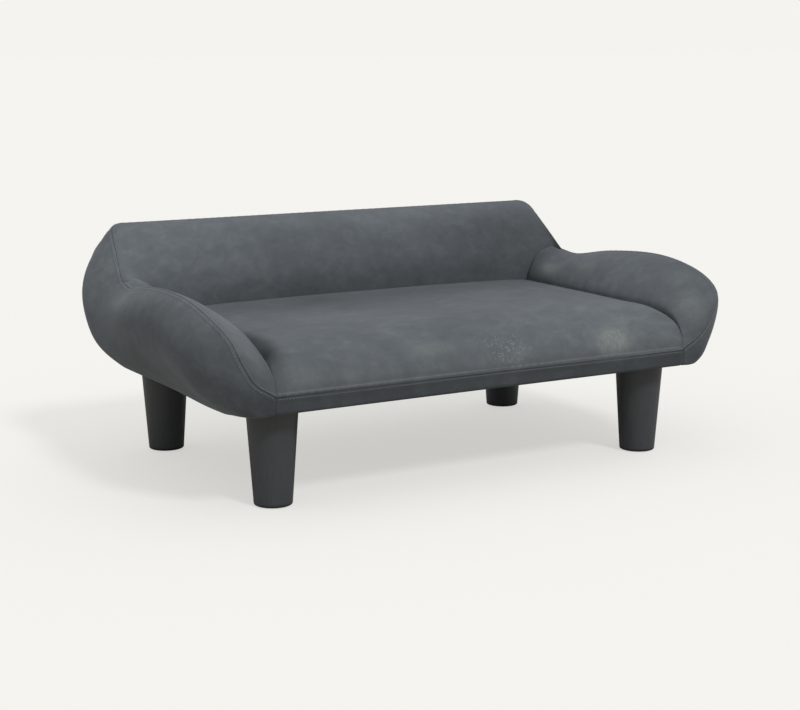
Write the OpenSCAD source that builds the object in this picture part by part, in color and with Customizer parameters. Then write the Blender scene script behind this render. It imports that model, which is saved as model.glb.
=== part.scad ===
// Dog sofa bed: a tight-upholstered little sofa with rolled arms on four screw-in tapered legs.
// Origin on the floor under the middle of the body. X runs along the sofa, Y to its back, Z up.

/* [Body outline] */
// Width across the widest part of the two arms
body_w = 980; // [940:5:1060]
// Depth from the fronts of the arms to the back of the body
body_d = 576; // [550:2:620]
// Height of the arm crests above the underside
arm_h = 160; // [145:5:180]
// Height of the seam along the back above the underside
back_h = 227.5; // [215:2.5:270]
// Width of each arm outside the seat
arm_w = 116; // [100:2:130]
// How far the underside is set in from the widest part of the arms
base_side_in = 63; // [56:1:70]
// How far the underside is set in from the fronts of the arms
base_front_in = 8; // [6:1:12]
// How far the underside is set in from the back of the body
base_back_in = 40; // [34:1:46]
// Corner radius of the underside at the back
base_back_r = 99; // [90:1:104]
// Corner radius of the widest outline at the front
belly_front_r = 97; // [85:1:110]
// Corner radius of the widest outline at the back
belly_back_r = 139; // [120:1:150]

/* [Seat] */
// Height of the front band under the seat seam
band_h = 25; // [22:1:30]
// Height of the seat over the front seam
seat_rise = 68; // [55:1:80]
// Depth of the rounded front shoulder of the seat
shoulder_run = 113; // [90:1:130]
// Crown of the seat across its width
seat_crown = 2.5; // [0:0.5:8]
// How far the seat's edges are drawn down at the arms
seat_edge_drop = 3; // [0:0.5:6]
// How far the arms press the seat in behind its front
edge_tuck = 14; // [6:1:20]
// How far behind the front seam the tuck starts
tuck_start = 11; // [0:1:20]
// Length along which that tuck comes in
tuck_run = 130; // [100:5:160]
// How far the front seam lies behind the fronts of the arms
front_seam_in = 7; // [5:1:10]

/* [Back rest and arm rolls] */
// Depth of the back rest from its front face to the back of the body
back_thick = 135; // [120:1:142]
// How far the seam along the back is set in from the back of the body
back_seam_in = 40; // [36:1:50]
// How far the top corners of the back are set in from the widest outline
end_in = 69; // [62:1:80]
// Height of the rounded top corners of the back
end_drop = 14; // [10:1:20]
// Length of the rounded top corners along the back
end_run = 31; // [24:1:40]
// How far the rounded top corners turn forward
end_turn = 22; // [16:1:28]
// Rise of the arm rolls beside the seam
roll_lift = 9; // [4:0.5:12]
// Height of the steep inner face of the arm rolls
inner_lift = 50; // [40:1:56]
// Forward swell of the arm fronts
front_puff = 6; // [2:0.5:8]

/* [Upholstery] */
// Thickness of the cover fabric with its bonded wadding
cover_t = 1.2; // [0.8:0.1:1.5]
// Thickness of the dust cloth under the frame
dust_t = 1; // [0.6:0.1:1.2]
// Clearance round the dust cloth
dust_gap = 1; // [0.5:0.5:2]
// Clearance between the covers and the foam
foam_gap = 0.8; // [0.5:0.1:0.9]
// Half width of the open groove along each seam
seam_gap = 2; // [1.6:0.1:2.6]
// Width of the cover turned under the frame
flange_w = 16; // [12:1:18]
// Clearance where two foam blocks meet
block_gap = 0.5; // [0.3:0.1:0.8]

/* [Legs] */
// Height from the floor to the underside of the body
leg_h = 155; // [110:5:220]
// Radius of a leg where it meets the body
leg_top_r = 40; // [30:1:42]
// Radius of a leg at the floor
leg_foot_r = 29.4; // [24:0.2:32]
// Rounding of the lower edge of a leg
leg_edge_r = 3; // [1:0.5:5]
// Distance of the leg centres from the sides of the frame
leg_side_in = 52; // [48:1:66]
// Distance of the front leg centres from the front of the frame
leg_front_in = 72; // [60:1:78]
// Distance of the back leg centres from the back of the frame
leg_back_in = 35; // [34:1:42]
// Radius of the floor glide
glide_r = 22; // [16:1:23]
// Thickness of the floor glide
glide_t = 5; // [4:0.5:8]
// How far the glide stands out of the leg
glide_proud = 1; // [0.5:0.5:2]
// Radius of the glide's nail
nail_r = 1.5; // [1:0.1:2]
// Length of the glide's nail
nail_l = 15; // [10:1:20]

/* [Leg fixing] */
// Radius of the hanger bolt, nominal M8
bolt_r = 4; // [3:0.5:5]
// Length of the hanger bolt above the leg
bolt_up = 22; // [20:0.5:22.5]
// Length of the hanger bolt inside the leg
bolt_down = 35; // [25:1:45]
// Running clearance of the bolt in its nut, on the radius
thread_gap = 0.05; // [0.02:0.01:0.1]
// Radius of the nut's barrel
nut_barrel_r = 5.2; // [5.1:0.1:7]
// Length of the nut's barrel
nut_barrel_l = 9; // [7:0.5:10]
// Radius of the nut's flange
nut_flange_r = 11; // [9:0.5:14]
// Thickness of the nut's flange
nut_flange_t = 1.5; // [1:0.1:2]
// Outer radius of the leg washer
washer_r = 12; // [9:0.5:16]
// Thickness of the leg washer
washer_t = 1.6; // [1:0.1:2.5]

/* [Frame] */
// Height of the frame rails
rail_h = 22; // [20:1:28]
// Width of the frame rails
rail_w = 40; // [36:1:44]
// Thickness of the seat deck
deck_t = 9; // [6:1:12]
// How far the frame reaches past the vertical seams of the front
frame_out = 21; // [20:0.5:24]
// Padding between the front band and the frame
band_pad = 3; // [2.6:0.1:6]
// Padding between the underside's back edge and the frame
frame_back_in = 8; // [6:1:12]
// Front corner radius of the frame
frame_front_r = 40; // [30:1:45]
// Back corner radius of the frame
frame_back_r = 75; // [55:1:75]
// Length of a corner block along the sofa
block_x = 95; // [90:1:110]
// Length of a front corner block, front to back
block_front_y = 112; // [105:1:120]
// Length of a back corner block, front to back
block_back_y = 75; // [70:1:82]
// Distance between the cross rails
cross_pitch = 220; // [160:10:320]
// Thickness of the plywood arm and back panels
ply_t = 12; // [9:1:15]
// How far the top edge of an arm panel lies under the arm seam
arm_panel_in = 40; // [36:1:50]
// Distance of the back panel's front face behind the front face of the back rest
back_panel_in = 47; // [40:1:55]
// How far the back panel's ends lie inside the vertical seams of the front
back_panel_end_in = 29; // [14:1:60]
// Height of the back panel over the deck
back_panel_h = 150; // [120:1:155]
// Radius of the back panel's top corners
back_panel_r = 60; // [30:5:80]

/* [Fasteners] */
// Radius of the frame screws
screw_r = 2; // [1.5:0.25:2.5]
// Radius of the frame screws' heads
screw_head_r = 4; // [3.5:0.25:4.5]
// Height of the countersunk heads
screw_head_h = 2.4; // [2:0.2:3]
// Length of the deck screws
deck_screw_l = 26; // [22:1:28]
// Length of the cross rail screws
rail_screw_l = 70; // [60:5:80]
// Distance of the outer arm panel screws from the panel's ends
panel_screw_in = 25; // [15:1:40]
// Length of the arm panel screws
panel_screw_l = 36; // [25:1:45]
// Radius of the bracket screws
small_screw_r = 1.75; // [1.5:0.05:2]
// Radius of the bracket screws' heads
small_head_r = 3.2; // [2.8:0.1:3.6]
// Height of the bracket screws' heads
small_head_h = 1.6; // [1.2:0.1:2]
// Length of the bracket screws in the wood
small_screw_l = 8; // [6:0.5:8.5]
// Radius of the dowels
dowel_r = 4; // [3:0.5:5]
// Length of the dowels
dowel_l = 40; // [30:2:50]
// Distance between the two dowels of a joint
dowel_pitch = 18; // [14:1:22]
// Clearance of screws and dowels in their holes, on the radius
hole_gap = 0.05; // [0.02:0.01:0.1]
// Thickness of the steel brackets
bracket_t = 2; // [1.5:0.5:2.5]
// Width of the steel brackets
bracket_w = 30; // [24:1:36]
// Height of the brackets' upright leaf
bracket_h = 40; // [34:1:48]
// Depth of the brackets' lower leaf
bracket_d = 20; // [16:1:22]
// Distance of the outer brackets from the back panel's ends
bracket_in = 95; // [70:5:140]
// Length of a staple's crown
staple_l = 10; // [8:1:12]
// Thickness of the staple wire
staple_t = 0.7; // [0.5:0.1:0.9]
// Length of a staple's legs in the wood
staple_leg = 6; // [4:1:8]
// Distance between neighbouring staples
staple_pitch = 110; // [80:5:140]

/* [Hidden] */
$fn = 48;

// One overrun for every cut
overrun = 2;
// The fabric as it shows from a step away, and its darker front band
fabric = [0.39, 0.41, 0.425];
band_grey = [0.26, 0.265, 0.27];
leg_grey = [0.225, 0.23, 0.24];
timber = [0.80, 0.66, 0.45];
plywood = [0.86, 0.74, 0.55];
foam = [0.93, 0.90, 0.78];
steel = [0.72, 0.73, 0.75];
nylon = [0.12, 0.12, 0.12];

// Levels and edges worked out from the sizes above
half_w = body_w / 2;
half_d = body_d / 2;
seat_half = half_w - arm_w;
base_half = half_w - base_side_in;
front_y = -(half_d - front_seam_in);
base_front_y = -(half_d - base_front_in);
base_back_y = half_d - base_back_in;
base_front_r = base_half - seat_half;
seam_z = leg_h + band_h;
back_y = half_d - back_thick;
back_foot_z = seam_z + seat_rise - seat_edge_drop - seat_crown;
back_seam_y = half_d - back_seam_in;
back_seam_z = leg_h + back_h;
roll_h = back_seam_z - back_foot_z;
frame_z = leg_h + cover_t;
deck_z = frame_z + rail_h;
deck_top = deck_z + deck_t;
frame_half = seat_half + frame_out;
frame_front = base_front_y + band_pad;
frame_back = base_back_y - frame_back_in;
rail_mid_z = frame_z + rail_h / 2;
side_rail_x = frame_half - rail_w / 2;
block_joint_x = frame_half - block_x;
front_joint_y = frame_front + block_front_y;
back_joint_y = frame_back - block_back_y;
panel_x = frame_half + ply_t;
leg_x = frame_half - leg_side_in;
leg_front_y = frame_front + leg_front_in;
leg_back_y = frame_back - leg_back_in;
cross_x = cross_pitch / 2;
back_panel_half = seat_half - back_panel_end_in;
bracket_x = back_panel_half - bracket_in;
tuck_front_y = front_y + tuck_start;
tuck_back_y = tuck_front_y + tuck_run;
back_panel_y = back_y + back_panel_in;
bracket_y = back_panel_y + ply_t;
flange_half = frame_half - flange_w;
flange_back_r = frame_back_r - flange_w;
foam_in = cover_t + foam_gap;
seat_gap = foam_gap;
leg_bottom = glide_proud;

// Seam of one arm from its front to the notch beside the back: shares of the arm's width outside
// the seat, of the depth from the arm's front to the back rest, and of the arm's height
arm_seam_shares = [
    [0.29, 0.0098, 0.30], [0.48, 0.0027, 0.5125], [0.60, 0.0202, 0.716], [0.68, 0.1234, 0.869],
    [0.70, 0.2857, 0.973], [0.70, 0.461, 1.0], [0.645, 0.6916, 0.954], [0.565, 0.8796, 0.869],
    [0.526, 0.9907, 0.896]];
// Where on the rounded outlines each station lies: 0 front middle, 1 to 2 front corner,
// 3 to 4 back corner, 5 back middle
outline_shares = [0, 1, 1.27, 1.54, 1.785, 2, 2.2, 2.4, 2.6, 2.8, 3, 3.275, 3.55, 3.8, 4, 5];
// How much of its swell the body has at each station
swell_shares = [0, 0, 0.70, 0.62, 0.85, 1, 1, 1, 1, 1, 1, 1, 1, 1, 1, 1];
// Pull of the upper curve behind the notch: outwards in shares of the top corners' set-in, and
// backwards in shares of the back seam's set-in
pull_shares = [[0.84, 0], [0.507, 1.625], [0.971, 2.4], [0.768, 2.125], [0.406, 1.7],
    [0.13, 1.45], [0, 1.5675]];
// Lift of the outer curve's lower and upper handles, in shares of its height
lower_share = 0.31;
upper_share = 0.17;
// Depth at which the arm roll meets the seat, from the front seam, in shares of the seat's depth
crevice_shares = [0, 0.0035, 0.0115, 0.032, 0.099, 0.251, 0.445, 0.687, 0.878, 1];
// Arm roll by station: reach of its upper handle, its lift, reach and lift of its lower handle,
// forward swell, and how far the upper handle drops towards the seat
roll_reach_shares = [0, 0.33, 0.36, 0.36, 0.36, 0.36, 0.36, 0.36, 0.36, 0.36];
roll_lift_shares = [0, 0.22, 0.33, 0.67, 0.89, 1, 1, 1, 1, 1];
inner_reach_shares = [0, 0.30, 0.25, 0.20, 0.12, 0.08, 0.05, 0.02, 0, 0];
inner_lift_shares = [0, 0.08, 0.18, 0.34, 0.60, 0.80, 0.90, 0.96, 0.96, 1];
puff_shares = [0, 0.17, 0.5, 0.83, 1, 0.5, 0, 0, 0, 0];
drop_shares = [0.33, 0.33, 0.33, 0.25, 0.12, 0.04, 0, 0, 0, 0];
// Foot of the back's front face by station, in shares of the notch's distance from the middle
foot_shares = [0.997, 0.961, 0.915, 0.855, 0.805, 0];
// Upper and lower handles of the back's front face, in shares of its height
back_upper_shares = [[0, 0, -0.115], [-0.03, -0.115, -0.086], [-0.057, -0.172, -0.043],
    [-0.057, -0.258, 0], [-0.029, -0.315, 0.0215], [0, -0.33, 0.025]];
back_lower_shares = [[0, 0, 0.129], [0.0215, -0.007, 0.229], [0.0286, -0.007, 0.373],
    [0.0286, -0.007, 0.502], [0.0143, -0.007, 0.602], [0, -0.007, 0.617]];
// Exponent of the seat's rounded shoulder, and of the fall at its edges
shoulder_power = 2.35;
edge_power = 10;
// Place of the middle of the rounded top corner of the back, in shares of its own size
corner_shares = [0.39, 0.91, 1.07];

// Stations run from the middle of the front round to the middle of the back: the front takes the
// first, then the arm's seam up to the notch, the back's end, its top corner and its top
front_steps = 1;
corner_steps = 2;
arm_last = front_steps + len(arm_seam_shares);
last_station = len(outline_shares) - front_steps;
top_start = last_station - front_steps;
corner_start = top_start - corner_steps;
// Stations over which the upper handles change from the swell to the pull
pull_start = len(outline_shares) - len(pull_shares);
pull_blend = pull_start - front_steps;
// Grid steps: rows up the outer curve, rows over the rolls, across the seat, and for each station
outer_rows = 8;
inner_rows = 8;
seat_steps = 14;
station_steps = 2;
// Start of the arm roll's cover, and the ends of the arm panel, in shares of a station and of the arm
roll_start_share = 0.15;
panel_front_share = 0.611;
panel_back_share = 0.978;
panel_steps = 11;

// Blends and curves
function mix(a, b, t) = a * (1 - t) + b * t;
function clip(v, low, high) = max(low, min(high, v));
function ease(t) = let(c = clip(t, 0, 1)) c * c * (3 - 2 * c);
function unit(v) = v / norm(v);
// Value of a list at a whole index, carried on in a straight line past its ends
function row(p, i) = i < 0 ? 2 * p[0] - p[1] : i >= len(p) ? 2 * p[len(p) - 1] - p[len(p) - 2] : p[i];
// Smooth curve through a list of values, s from 0 to its last index
function through(p, s) =
    let(i = clip(floor(s), 0, len(p) - 2), t = s - i,
        a = row(p, i - 1), b = p[i], c = p[i + 1], d = row(p, i + 2))
    0.5 * (2 * b + (c - a) * t + (2 * a - 5 * b + 4 * c - d) * t * t
        + (3 * b - a - 3 * c + d) * t * t * t);
// Straight lines through a list of values
function along(p, s) = let(i = clip(floor(s), 0, len(p) - 2)) mix(p[i], p[i + 1], s - i);
function bezier(h, t) =
    let(u = 1 - t) h[0] * u * u * u + 3 * h[1] * u * u * t + 3 * h[2] * u * t * t + h[3] * t * t * t;
function curve(h, rows, t0, t1) = [for (k = [0 : rows]) bezier(h, mix(t0, t1, k / rows))];

// Point on a rounded outline with its own front and back radii, right half, u from 0 to 5
function outline_point(hw, yf, yb, rf, rb, u) =
    u <= 1 ? [(hw - rf) * u, yf] :
    u <= 2 ? [hw - rf + rf * sin(90 * (u - 1)), yf + rf - rf * cos(90 * (u - 1))] :
    u <= 3 ? [hw, mix(yf + rf, yb - rb, u - 2)] :
    u <= 4 ? [hw - rb + rb * cos(90 * (u - 3)), yb - rb + rb * sin(90 * (u - 3))] :
    [(hw - rb) * (5 - u), yb];
function outline_half(hw, yf, yb, rf, rb) =
    [for (u = [1 : 0.125 : 2], v = [0]) outline_point(hw, yf, yb, rf, rb, u),
     for (u = [3 : 0.125 : 4]) outline_point(hw, yf, yb, rf, rb, u)];
function outline_full(hw, yf, yb, rf, rb) =
    let(half = outline_half(hw, yf, yb, rf, rb))
    concat(half, [for (k = [len(half) - 1 : -1 : 0]) [-half[k][0], half[k][1]]]);

// The seam that runs round the whole sofa, right half
arm_seam = concat([[seat_half, front_y, seam_z]],
    [for (p = arm_seam_shares)
        [seat_half + p[0] * arm_w, mix(-half_d, back_y, p[1]), leg_h + p[2] * arm_h]]);
notch = arm_seam[len(arm_seam) - 1];
top_corner = [half_w - end_in, back_seam_y - end_turn, back_seam_z - end_drop];
top_end = [top_corner[0] - end_run, back_seam_y, back_seam_z];
corner_mid = [for (k = [0 : 2]) mix(top_corner[k], top_end[k], corner_shares[k])];
function rim(s) =
    s < front_steps ? [arm_seam[0][0] * s, front_y, seam_z] :
    s <= arm_last ? through(arm_seam, s - front_steps) :
    s <= corner_start ? mix(notch, top_corner, (s - arm_last) / (corner_start - arm_last)) :
    s <= top_start ? let(t = (s - corner_start) / (top_start - corner_start))
        top_corner * (1 - t) * (1 - t) + 2 * corner_mid * t * (1 - t) + top_end * t * t :
    [top_end[0] * (last_station - s), back_seam_y, back_seam_z];

// Outer curve of the body at a station, from the underside up to the seam
function base_point(s) =
    let(p = outline_point(base_half, base_front_y, base_back_y, base_front_r, base_back_r,
        along(outline_shares, s))) [p[0], p[1], leg_h];
// Inner edge of the cover where it is turned under the frame
function flange_point(s) =
    let(p = outline_point(flange_half, frame_front + flange_w, frame_back - flange_w,
        flange_half - seat_half, flange_back_r, along(outline_shares, s))) [p[0], p[1], leg_h];
function outer_curve(s) =
    let(low = base_point(s), high = rim(s),
        belly = outline_point(half_w, -half_d, half_d, belly_front_r, belly_back_r,
            along(outline_shares, s)),
        swell = through(swell_shares, s) * 4 / 3,
        v = [belly[0] - (low[0] + high[0]) / 2, belly[1] - (low[1] + high[1]) / 2] * swell,
        share = through(pull_shares, clip(s - pull_start, 0, len(pull_shares) - 1)),
        pull = [share[0] * end_in, share[1] * back_seam_in],
        w = mix(v, pull, ease(s - pull_blend)),
        rise = high[2] - low[2])
    [low, low + [v[0], v[1], lower_share * rise], high + [w[0], w[1], -upper_share * rise], high];

// Seat: height over the front seam at a depth, and half width there
function seat_height(y) =
    let(q = clip((front_y + shoulder_run - y) / shoulder_run, 0, 1))
    seat_rise * pow(1 - pow(q, shoulder_power), 1 / shoulder_power);
function seat_edge(y) =
    seat_half - edge_tuck * ease((y - tuck_front_y) / (tuck_back_y - tuck_front_y));
function crevice(s) =
    let(y = max(front_y, mix(front_y, back_y, through(crevice_shares, s - front_steps))))
    [seat_edge(y), y, seam_z + seat_height(y)];

// Arm roll at a station, from the seam over the roll and down to the seat
function roll_curve(s) =
    let(k = s - front_steps, high = rim(s), low = crevice(s), d = low - high,
        reach = through(roll_reach_shares, k), tuck = through(inner_reach_shares, k),
        puff = -front_puff * through(puff_shares, k))
    [high,
     high + [d[0] * reach, d[1] * reach + puff,
        roll_lift * through(roll_lift_shares, k) + d[2] * through(drop_shares, k)],
     low + [-d[0] * tuck, -d[1] * tuck + puff, inner_lift * through(inner_lift_shares, k)],
     low];

// Front face of the back rest at a station, from the seam down to the seat
function back_curve(s) =
    let(k = s - arm_last, high = rim(s),
        low = [notch[0] * along(foot_shares, k), back_y, back_foot_z])
    [high, high + along(back_upper_shares, k) * roll_h, low + along(back_lower_shares, k) * roll_h,
     low];

// Share of a curve that a short length at its start or end takes up
function start_share(h, length) = length / (3 * norm(h[1] - h[0]));
function end_share(h, length) = length / (3 * norm(h[3] - h[2]));

// Rows of points at each station: turned-under edge, outer curve, and the curve inside the seam.
// The groove opens a little where the seam turns in behind the arms.
turn_share = 1.5;
function gap_at(s) = seam_gap * (1 + ease(1 - abs(s - arm_last - 1 / station_steps) / turn_share));
function outer_row(s) =
    let(h = outer_curve(s))
    concat([flange_point(s)], curve(h, outer_rows, 0, 1 - end_share(h, gap_at(s))));
function roll_row(s) =
    let(h = roll_curve(s)) curve(h, inner_rows, start_share(h, seam_gap), 1);
function back_row(s) =
    let(h = back_curve(s)) curve(h, inner_rows, start_share(h, gap_at(s)), 1);
// A closed section through the foam, with the points of the covers apart from those beside the seam
function ring(outer, inner, gap) =
    let(low = curve(outer, outer_rows, 0, 1 - end_share(outer, gap)),
        high = curve(inner, inner_rows, start_share(inner, gap), 1))
    concat([for (k = [0 : outer_rows - 1]) low[k]], [inner[0]], [for (k = [1 : inner_rows]) high[k]]);
function flip_x(g) = [for (p = g) [-p[0], p[1], p[2]]];

// Grid of rows moved inwards along its own normals
function grid_normal(g, i, j) =
    let(n = len(g) - 1, m = len(g[0]) - 1,
        a = g[min(i + 1, n)][j] - g[max(i - 1, 0)][j],
        b = g[i][min(j + 1, m)] - g[i][max(j - 1, 0)])
    unit(cross(a, b));
function inset(g, d) =
    [for (i = [0 : len(g) - 1]) [for (j = [0 : len(g[0]) - 1]) g[i][j] - d * grid_normal(g, i, j)]];
ridge_share = 2;
function inset_ridge(g, d, ridge) =
    [for (i = [0 : len(g) - 1]) [for (j = [0 : len(g[0]) - 1])
        g[i][j] - d * (j == ridge ? ridge_share : 1) * grid_normal(g, i, j)]];
function reversed(p) = [for (k = [len(p) - 1 : -1 : 0]) p[k]];
function middle(p) = [for (k = [0 : 2]) (min([for (q = p) q[k]]) + max([for (q = p) q[k]])) / 2];

// Side faces of a row of closed rings
function ring_faces(n, m) =
    [for (i = [0 : n - 2], j = [0 : m - 1]) let(k = (j + 1) % m)
        each [[i * m + j, i * m + k, (i + 1) * m + k], [i * m + j, (i + 1) * m + k, (i + 1) * m + j]]];
// A solid through closed rings, its ends closed round two middle points
module loft(rings, first_mid, last_mid) {
    n = len(rings);
    m = len(rings[0]);
    points = concat([for (r = rings) each r], [first_mid, last_mid]);
    ends = [for (j = [0 : m - 1]) let(k = (j + 1) % m)
        each [[n * m, k, j], [n * m + 1, (n - 1) * m + j, (n - 1) * m + k]]];
    polyhedron(points, concat(ring_faces(n, m), ends), convexity = 8);
}
// A sheet of even thickness under a grid of rows
module sheet(grid, thickness) {
    inner = inset(grid, thickness);
    n = len(grid);
    h = len(grid[0]);
    m = 2 * h;
    points = [for (i = [0 : n - 1]) each concat(grid[i], reversed(inner[i]))];
    base = (n - 1) * m;
    ends = [for (j = [0 : h - 2])
        each [[j, m - 2 - j, j + 1], [j, m - 1 - j, m - 2 - j],
            [base + j, base + j + 1, base + m - 2 - j], [base + j, base + m - 2 - j, base + m - 1 - j]]];
    polyhedron(points, concat(ring_faces(n, m), ends), convexity = 8);
}

// Stations used by each piece
function stations(first, last) =
    [for (k = [0 : (last - first) * station_steps]) first + k / station_steps];
arm_stations = stations(front_steps + front_steps / station_steps, arm_last);
roll_stations = concat([front_steps + roll_start_share], arm_stations);
back_stations = stations(arm_last, last_station);
outer_stations = stations(front_steps, last_station);
function both_sides(rows) =
    concat(rows, [for (k = [len(rows) - 2 : -1 : 0]) flip_x(rows[k])]);

// Seat grid: rows across the sofa from left to right, points from the front seam to the back
seat_half_steps = seat_steps / 2;
function seat_depth(k) =
    k <= seat_half_steps
        ? front_y + shoulder_run * (1 - pow(cos(90 * k / seat_half_steps), 2 / shoulder_power))
        : mix(front_y + shoulder_run, back_y - seat_gap, (k - seat_half_steps) / seat_half_steps);
function seat_point(u, k) =
    let(y = seat_depth(k), h = seat_height(y), share = h / seat_rise)
    [u * (seat_edge(y) - seat_gap), y,
     seam_z + h + share * (seat_crown * (1 - u * u) - seat_edge_drop * pow(abs(u), edge_power))];
seat_grid = [for (i = [0 : seat_steps]) [for (k = [0 : seat_steps])
    seat_point(sin(90 * (2 * i / seat_steps - 1)), k)]];

// Frame outline with a clearance, as a slab
module frame_slab(height, gap) {
    linear_extrude(height)
        polygon(outline_full(frame_half + gap, frame_front - gap, frame_back + gap,
            frame_front_r + gap, frame_back_r + gap));
}
module frame_piece(x0, x1, y0, y1) {
    translate([x0, y0, frame_z])
        cube([x1 - x0, y1 - y0, rail_h]);
}

// Screws point down with their heads flush at z = 0
module screw(length, radius, head_radius, head_height) {
    translate([0, 0, -length])
        cylinder(r = radius, h = length);
    translate([0, 0, -head_height])
        cylinder(r1 = radius, r2 = head_radius, h = head_height);
}
module wood_screw(length) {
    screw(length, screw_r, screw_head_r, screw_head_h);
}
module screw_hole(length) {
    screw(length + hole_gap, screw_r + hole_gap, screw_head_r + hole_gap, screw_head_h);
}
// A bracket's screws point down too, with their heads on the leaf
module bracket_screw() {
    translate([0, 0, -small_screw_l])
        cylinder(r = small_screw_r, h = small_screw_l + bracket_t);
    translate([0, 0, bracket_t])
        cylinder(r = small_head_r, h = small_head_h);
}
module bracket_screw_hole() {
    translate([0, 0, -small_screw_l - hole_gap])
        cylinder(r = small_screw_r + hole_gap, h = small_screw_l + bracket_t + overrun);
}

// Places of the deck screws, on the rails
deck_screw_shares = [-1, -0.25, 0.25, 1];
deck_screw_reach = block_joint_x - rail_w;
module deck_screw_places() {
    for (k = deck_screw_shares, y = [frame_front + rail_w / 2, frame_back - rail_w / 2])
        translate([k * deck_screw_reach, y, deck_top])
            children();
    for (x = [-side_rail_x, side_rail_x], y = [front_joint_y, back_joint_y] / 2)
        translate([x, y, deck_top])
            children();
}
module cross_screw_places() {
    for (side = [-1, 1], x = [-dowel_pitch, dowel_pitch] / 2) {
        translate([side * cross_x + x, frame_front, rail_mid_z])
            rotate([90, 0, 0])
                children();
        translate([side * cross_x + x, frame_back, rail_mid_z])
            rotate([-90, 0, 0])
                children();
    }
}
panel_screw_shares = [0, 0.5, 1];
module panel_screw_places() {
    for (side = [-1, 1], k = panel_screw_shares)
        translate([side * panel_x, mix(panel_front_y + panel_screw_in, panel_back_y - panel_screw_in, k),
                rail_mid_z])
            rotate([0, side * 90, 0])
                children();
}
module dowel_places() {
    for (x = [-block_joint_x, block_joint_x], e = [-dowel_pitch, dowel_pitch] / 2,
            y = [frame_front + rail_w / 2, frame_back - rail_w / 2])
        translate([x, y + e, rail_mid_z])
            rotate([0, 90, 0])
                children();
    for (x = [-side_rail_x, side_rail_x], e = [-dowel_pitch, dowel_pitch] / 2,
            y = [front_joint_y, back_joint_y])
        translate([x + e, y, rail_mid_z])
            rotate([90, 0, 0])
                children();
}
module dowel_holes() {
    dowel_places()
        cylinder(r = dowel_r + hole_gap, h = dowel_l + 2 * hole_gap, center = true);
}
module leg_places() {
    for (x = [-leg_x, leg_x], y = [leg_front_y, leg_back_y])
        translate([x, y, 0])
            children();
}
module bracket_places() {
    for (x = [-bracket_x, 0, bracket_x])
        translate([x, bracket_y, deck_top])
            children();
}
// Screw places in a bracket's lower leaf and up its upright leaf
leaf_screw_share = 0.6;
bracket_hole_shares = [0.45, 0.8];
module bracket_screw_places() {
    translate([0, bracket_d * leaf_screw_share, 0])
        children();
    for (k = bracket_hole_shares)
        translate([0, 0, bracket_h * k])
            rotate([-90, 0, 0])
                children();
}

module end_rail(y0, y1) {
    color(timber)
        difference() {
            frame_piece(-block_joint_x, block_joint_x, y0, y1);
            dowel_holes();
            cross_screw_places()
                screw_hole(rail_screw_l);
            deck_screw_places()
                screw_hole(deck_screw_l);
        }
}
module front_rail() {
    end_rail(frame_front, frame_front + rail_w);
}
module rear_rail() {
    end_rail(frame_back - rail_w, frame_back);
}
module side_rail(side) {
    color(timber)
        difference() {
            frame_piece(side * side_rail_x - rail_w / 2, side * side_rail_x + rail_w / 2, front_joint_y,
                back_joint_y);
            dowel_holes();
            panel_screw_places()
                screw_hole(panel_screw_l);
            deck_screw_places()
                screw_hole(deck_screw_l);
        }
}
module left_rail() {
    side_rail(-1);
}
module right_rail() {
    side_rail(1);
}
module cross_rails() {
    color(timber)
        difference() {
            for (side = [-1, 1])
                frame_piece(side * cross_x - rail_w / 2, side * cross_x + rail_w / 2,
                    frame_front + rail_w, frame_back - rail_w);
            cross_screw_places()
                screw_hole(rail_screw_l);
        }
}
module corner_blocks() {
    color(timber)
        difference() {
            intersection() {
                union() {
                    for (x0 = [-frame_half, block_joint_x]) {
                        frame_piece(x0, x0 + block_x, frame_front, front_joint_y);
                        frame_piece(x0, x0 + block_x, back_joint_y, frame_back);
                    }
                }
                translate([0, 0, frame_z])
                    frame_slab(rail_h, 0);
            }
            dowel_holes();
            leg_places() {
                translate([0, 0, leg_h])
                    cylinder(r = nut_barrel_r, h = rail_h + overrun);
                translate([0, 0, deck_z - nut_flange_t])
                    cylinder(r = nut_flange_r, h = nut_flange_t + overrun);
            }
        }
}
module dowels() {
    color(timber)
        dowel_places()
            cylinder(r = dowel_r, h = dowel_l, center = true);
}
module rail_screws() {
    color(steel)
        cross_screw_places()
            wood_screw(rail_screw_l);
}
module tee_nuts() {
    color(steel)
        leg_places()
            difference() {
                union() {
                    translate([0, 0, deck_z - nut_flange_t])
                        cylinder(r = nut_flange_r, h = nut_flange_t);
                    translate([0, 0, deck_z - nut_flange_t - nut_barrel_l])
                        cylinder(r = nut_barrel_r, h = nut_barrel_l);
                }
                translate([0, 0, leg_h])
                    cylinder(r = bolt_r + thread_gap, h = deck_top);
            }
}
module deck_panel() {
    color(plywood)
        difference() {
            translate([0, 0, deck_z])
                frame_slab(deck_t, 0);
            deck_screw_places()
                screw_hole(deck_screw_l);
            bracket_places()
                bracket_screw_places()
                    bracket_screw_hole();
        }
}
module deck_screws() {
    color(steel)
        deck_screw_places()
            wood_screw(deck_screw_l);
}

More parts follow.
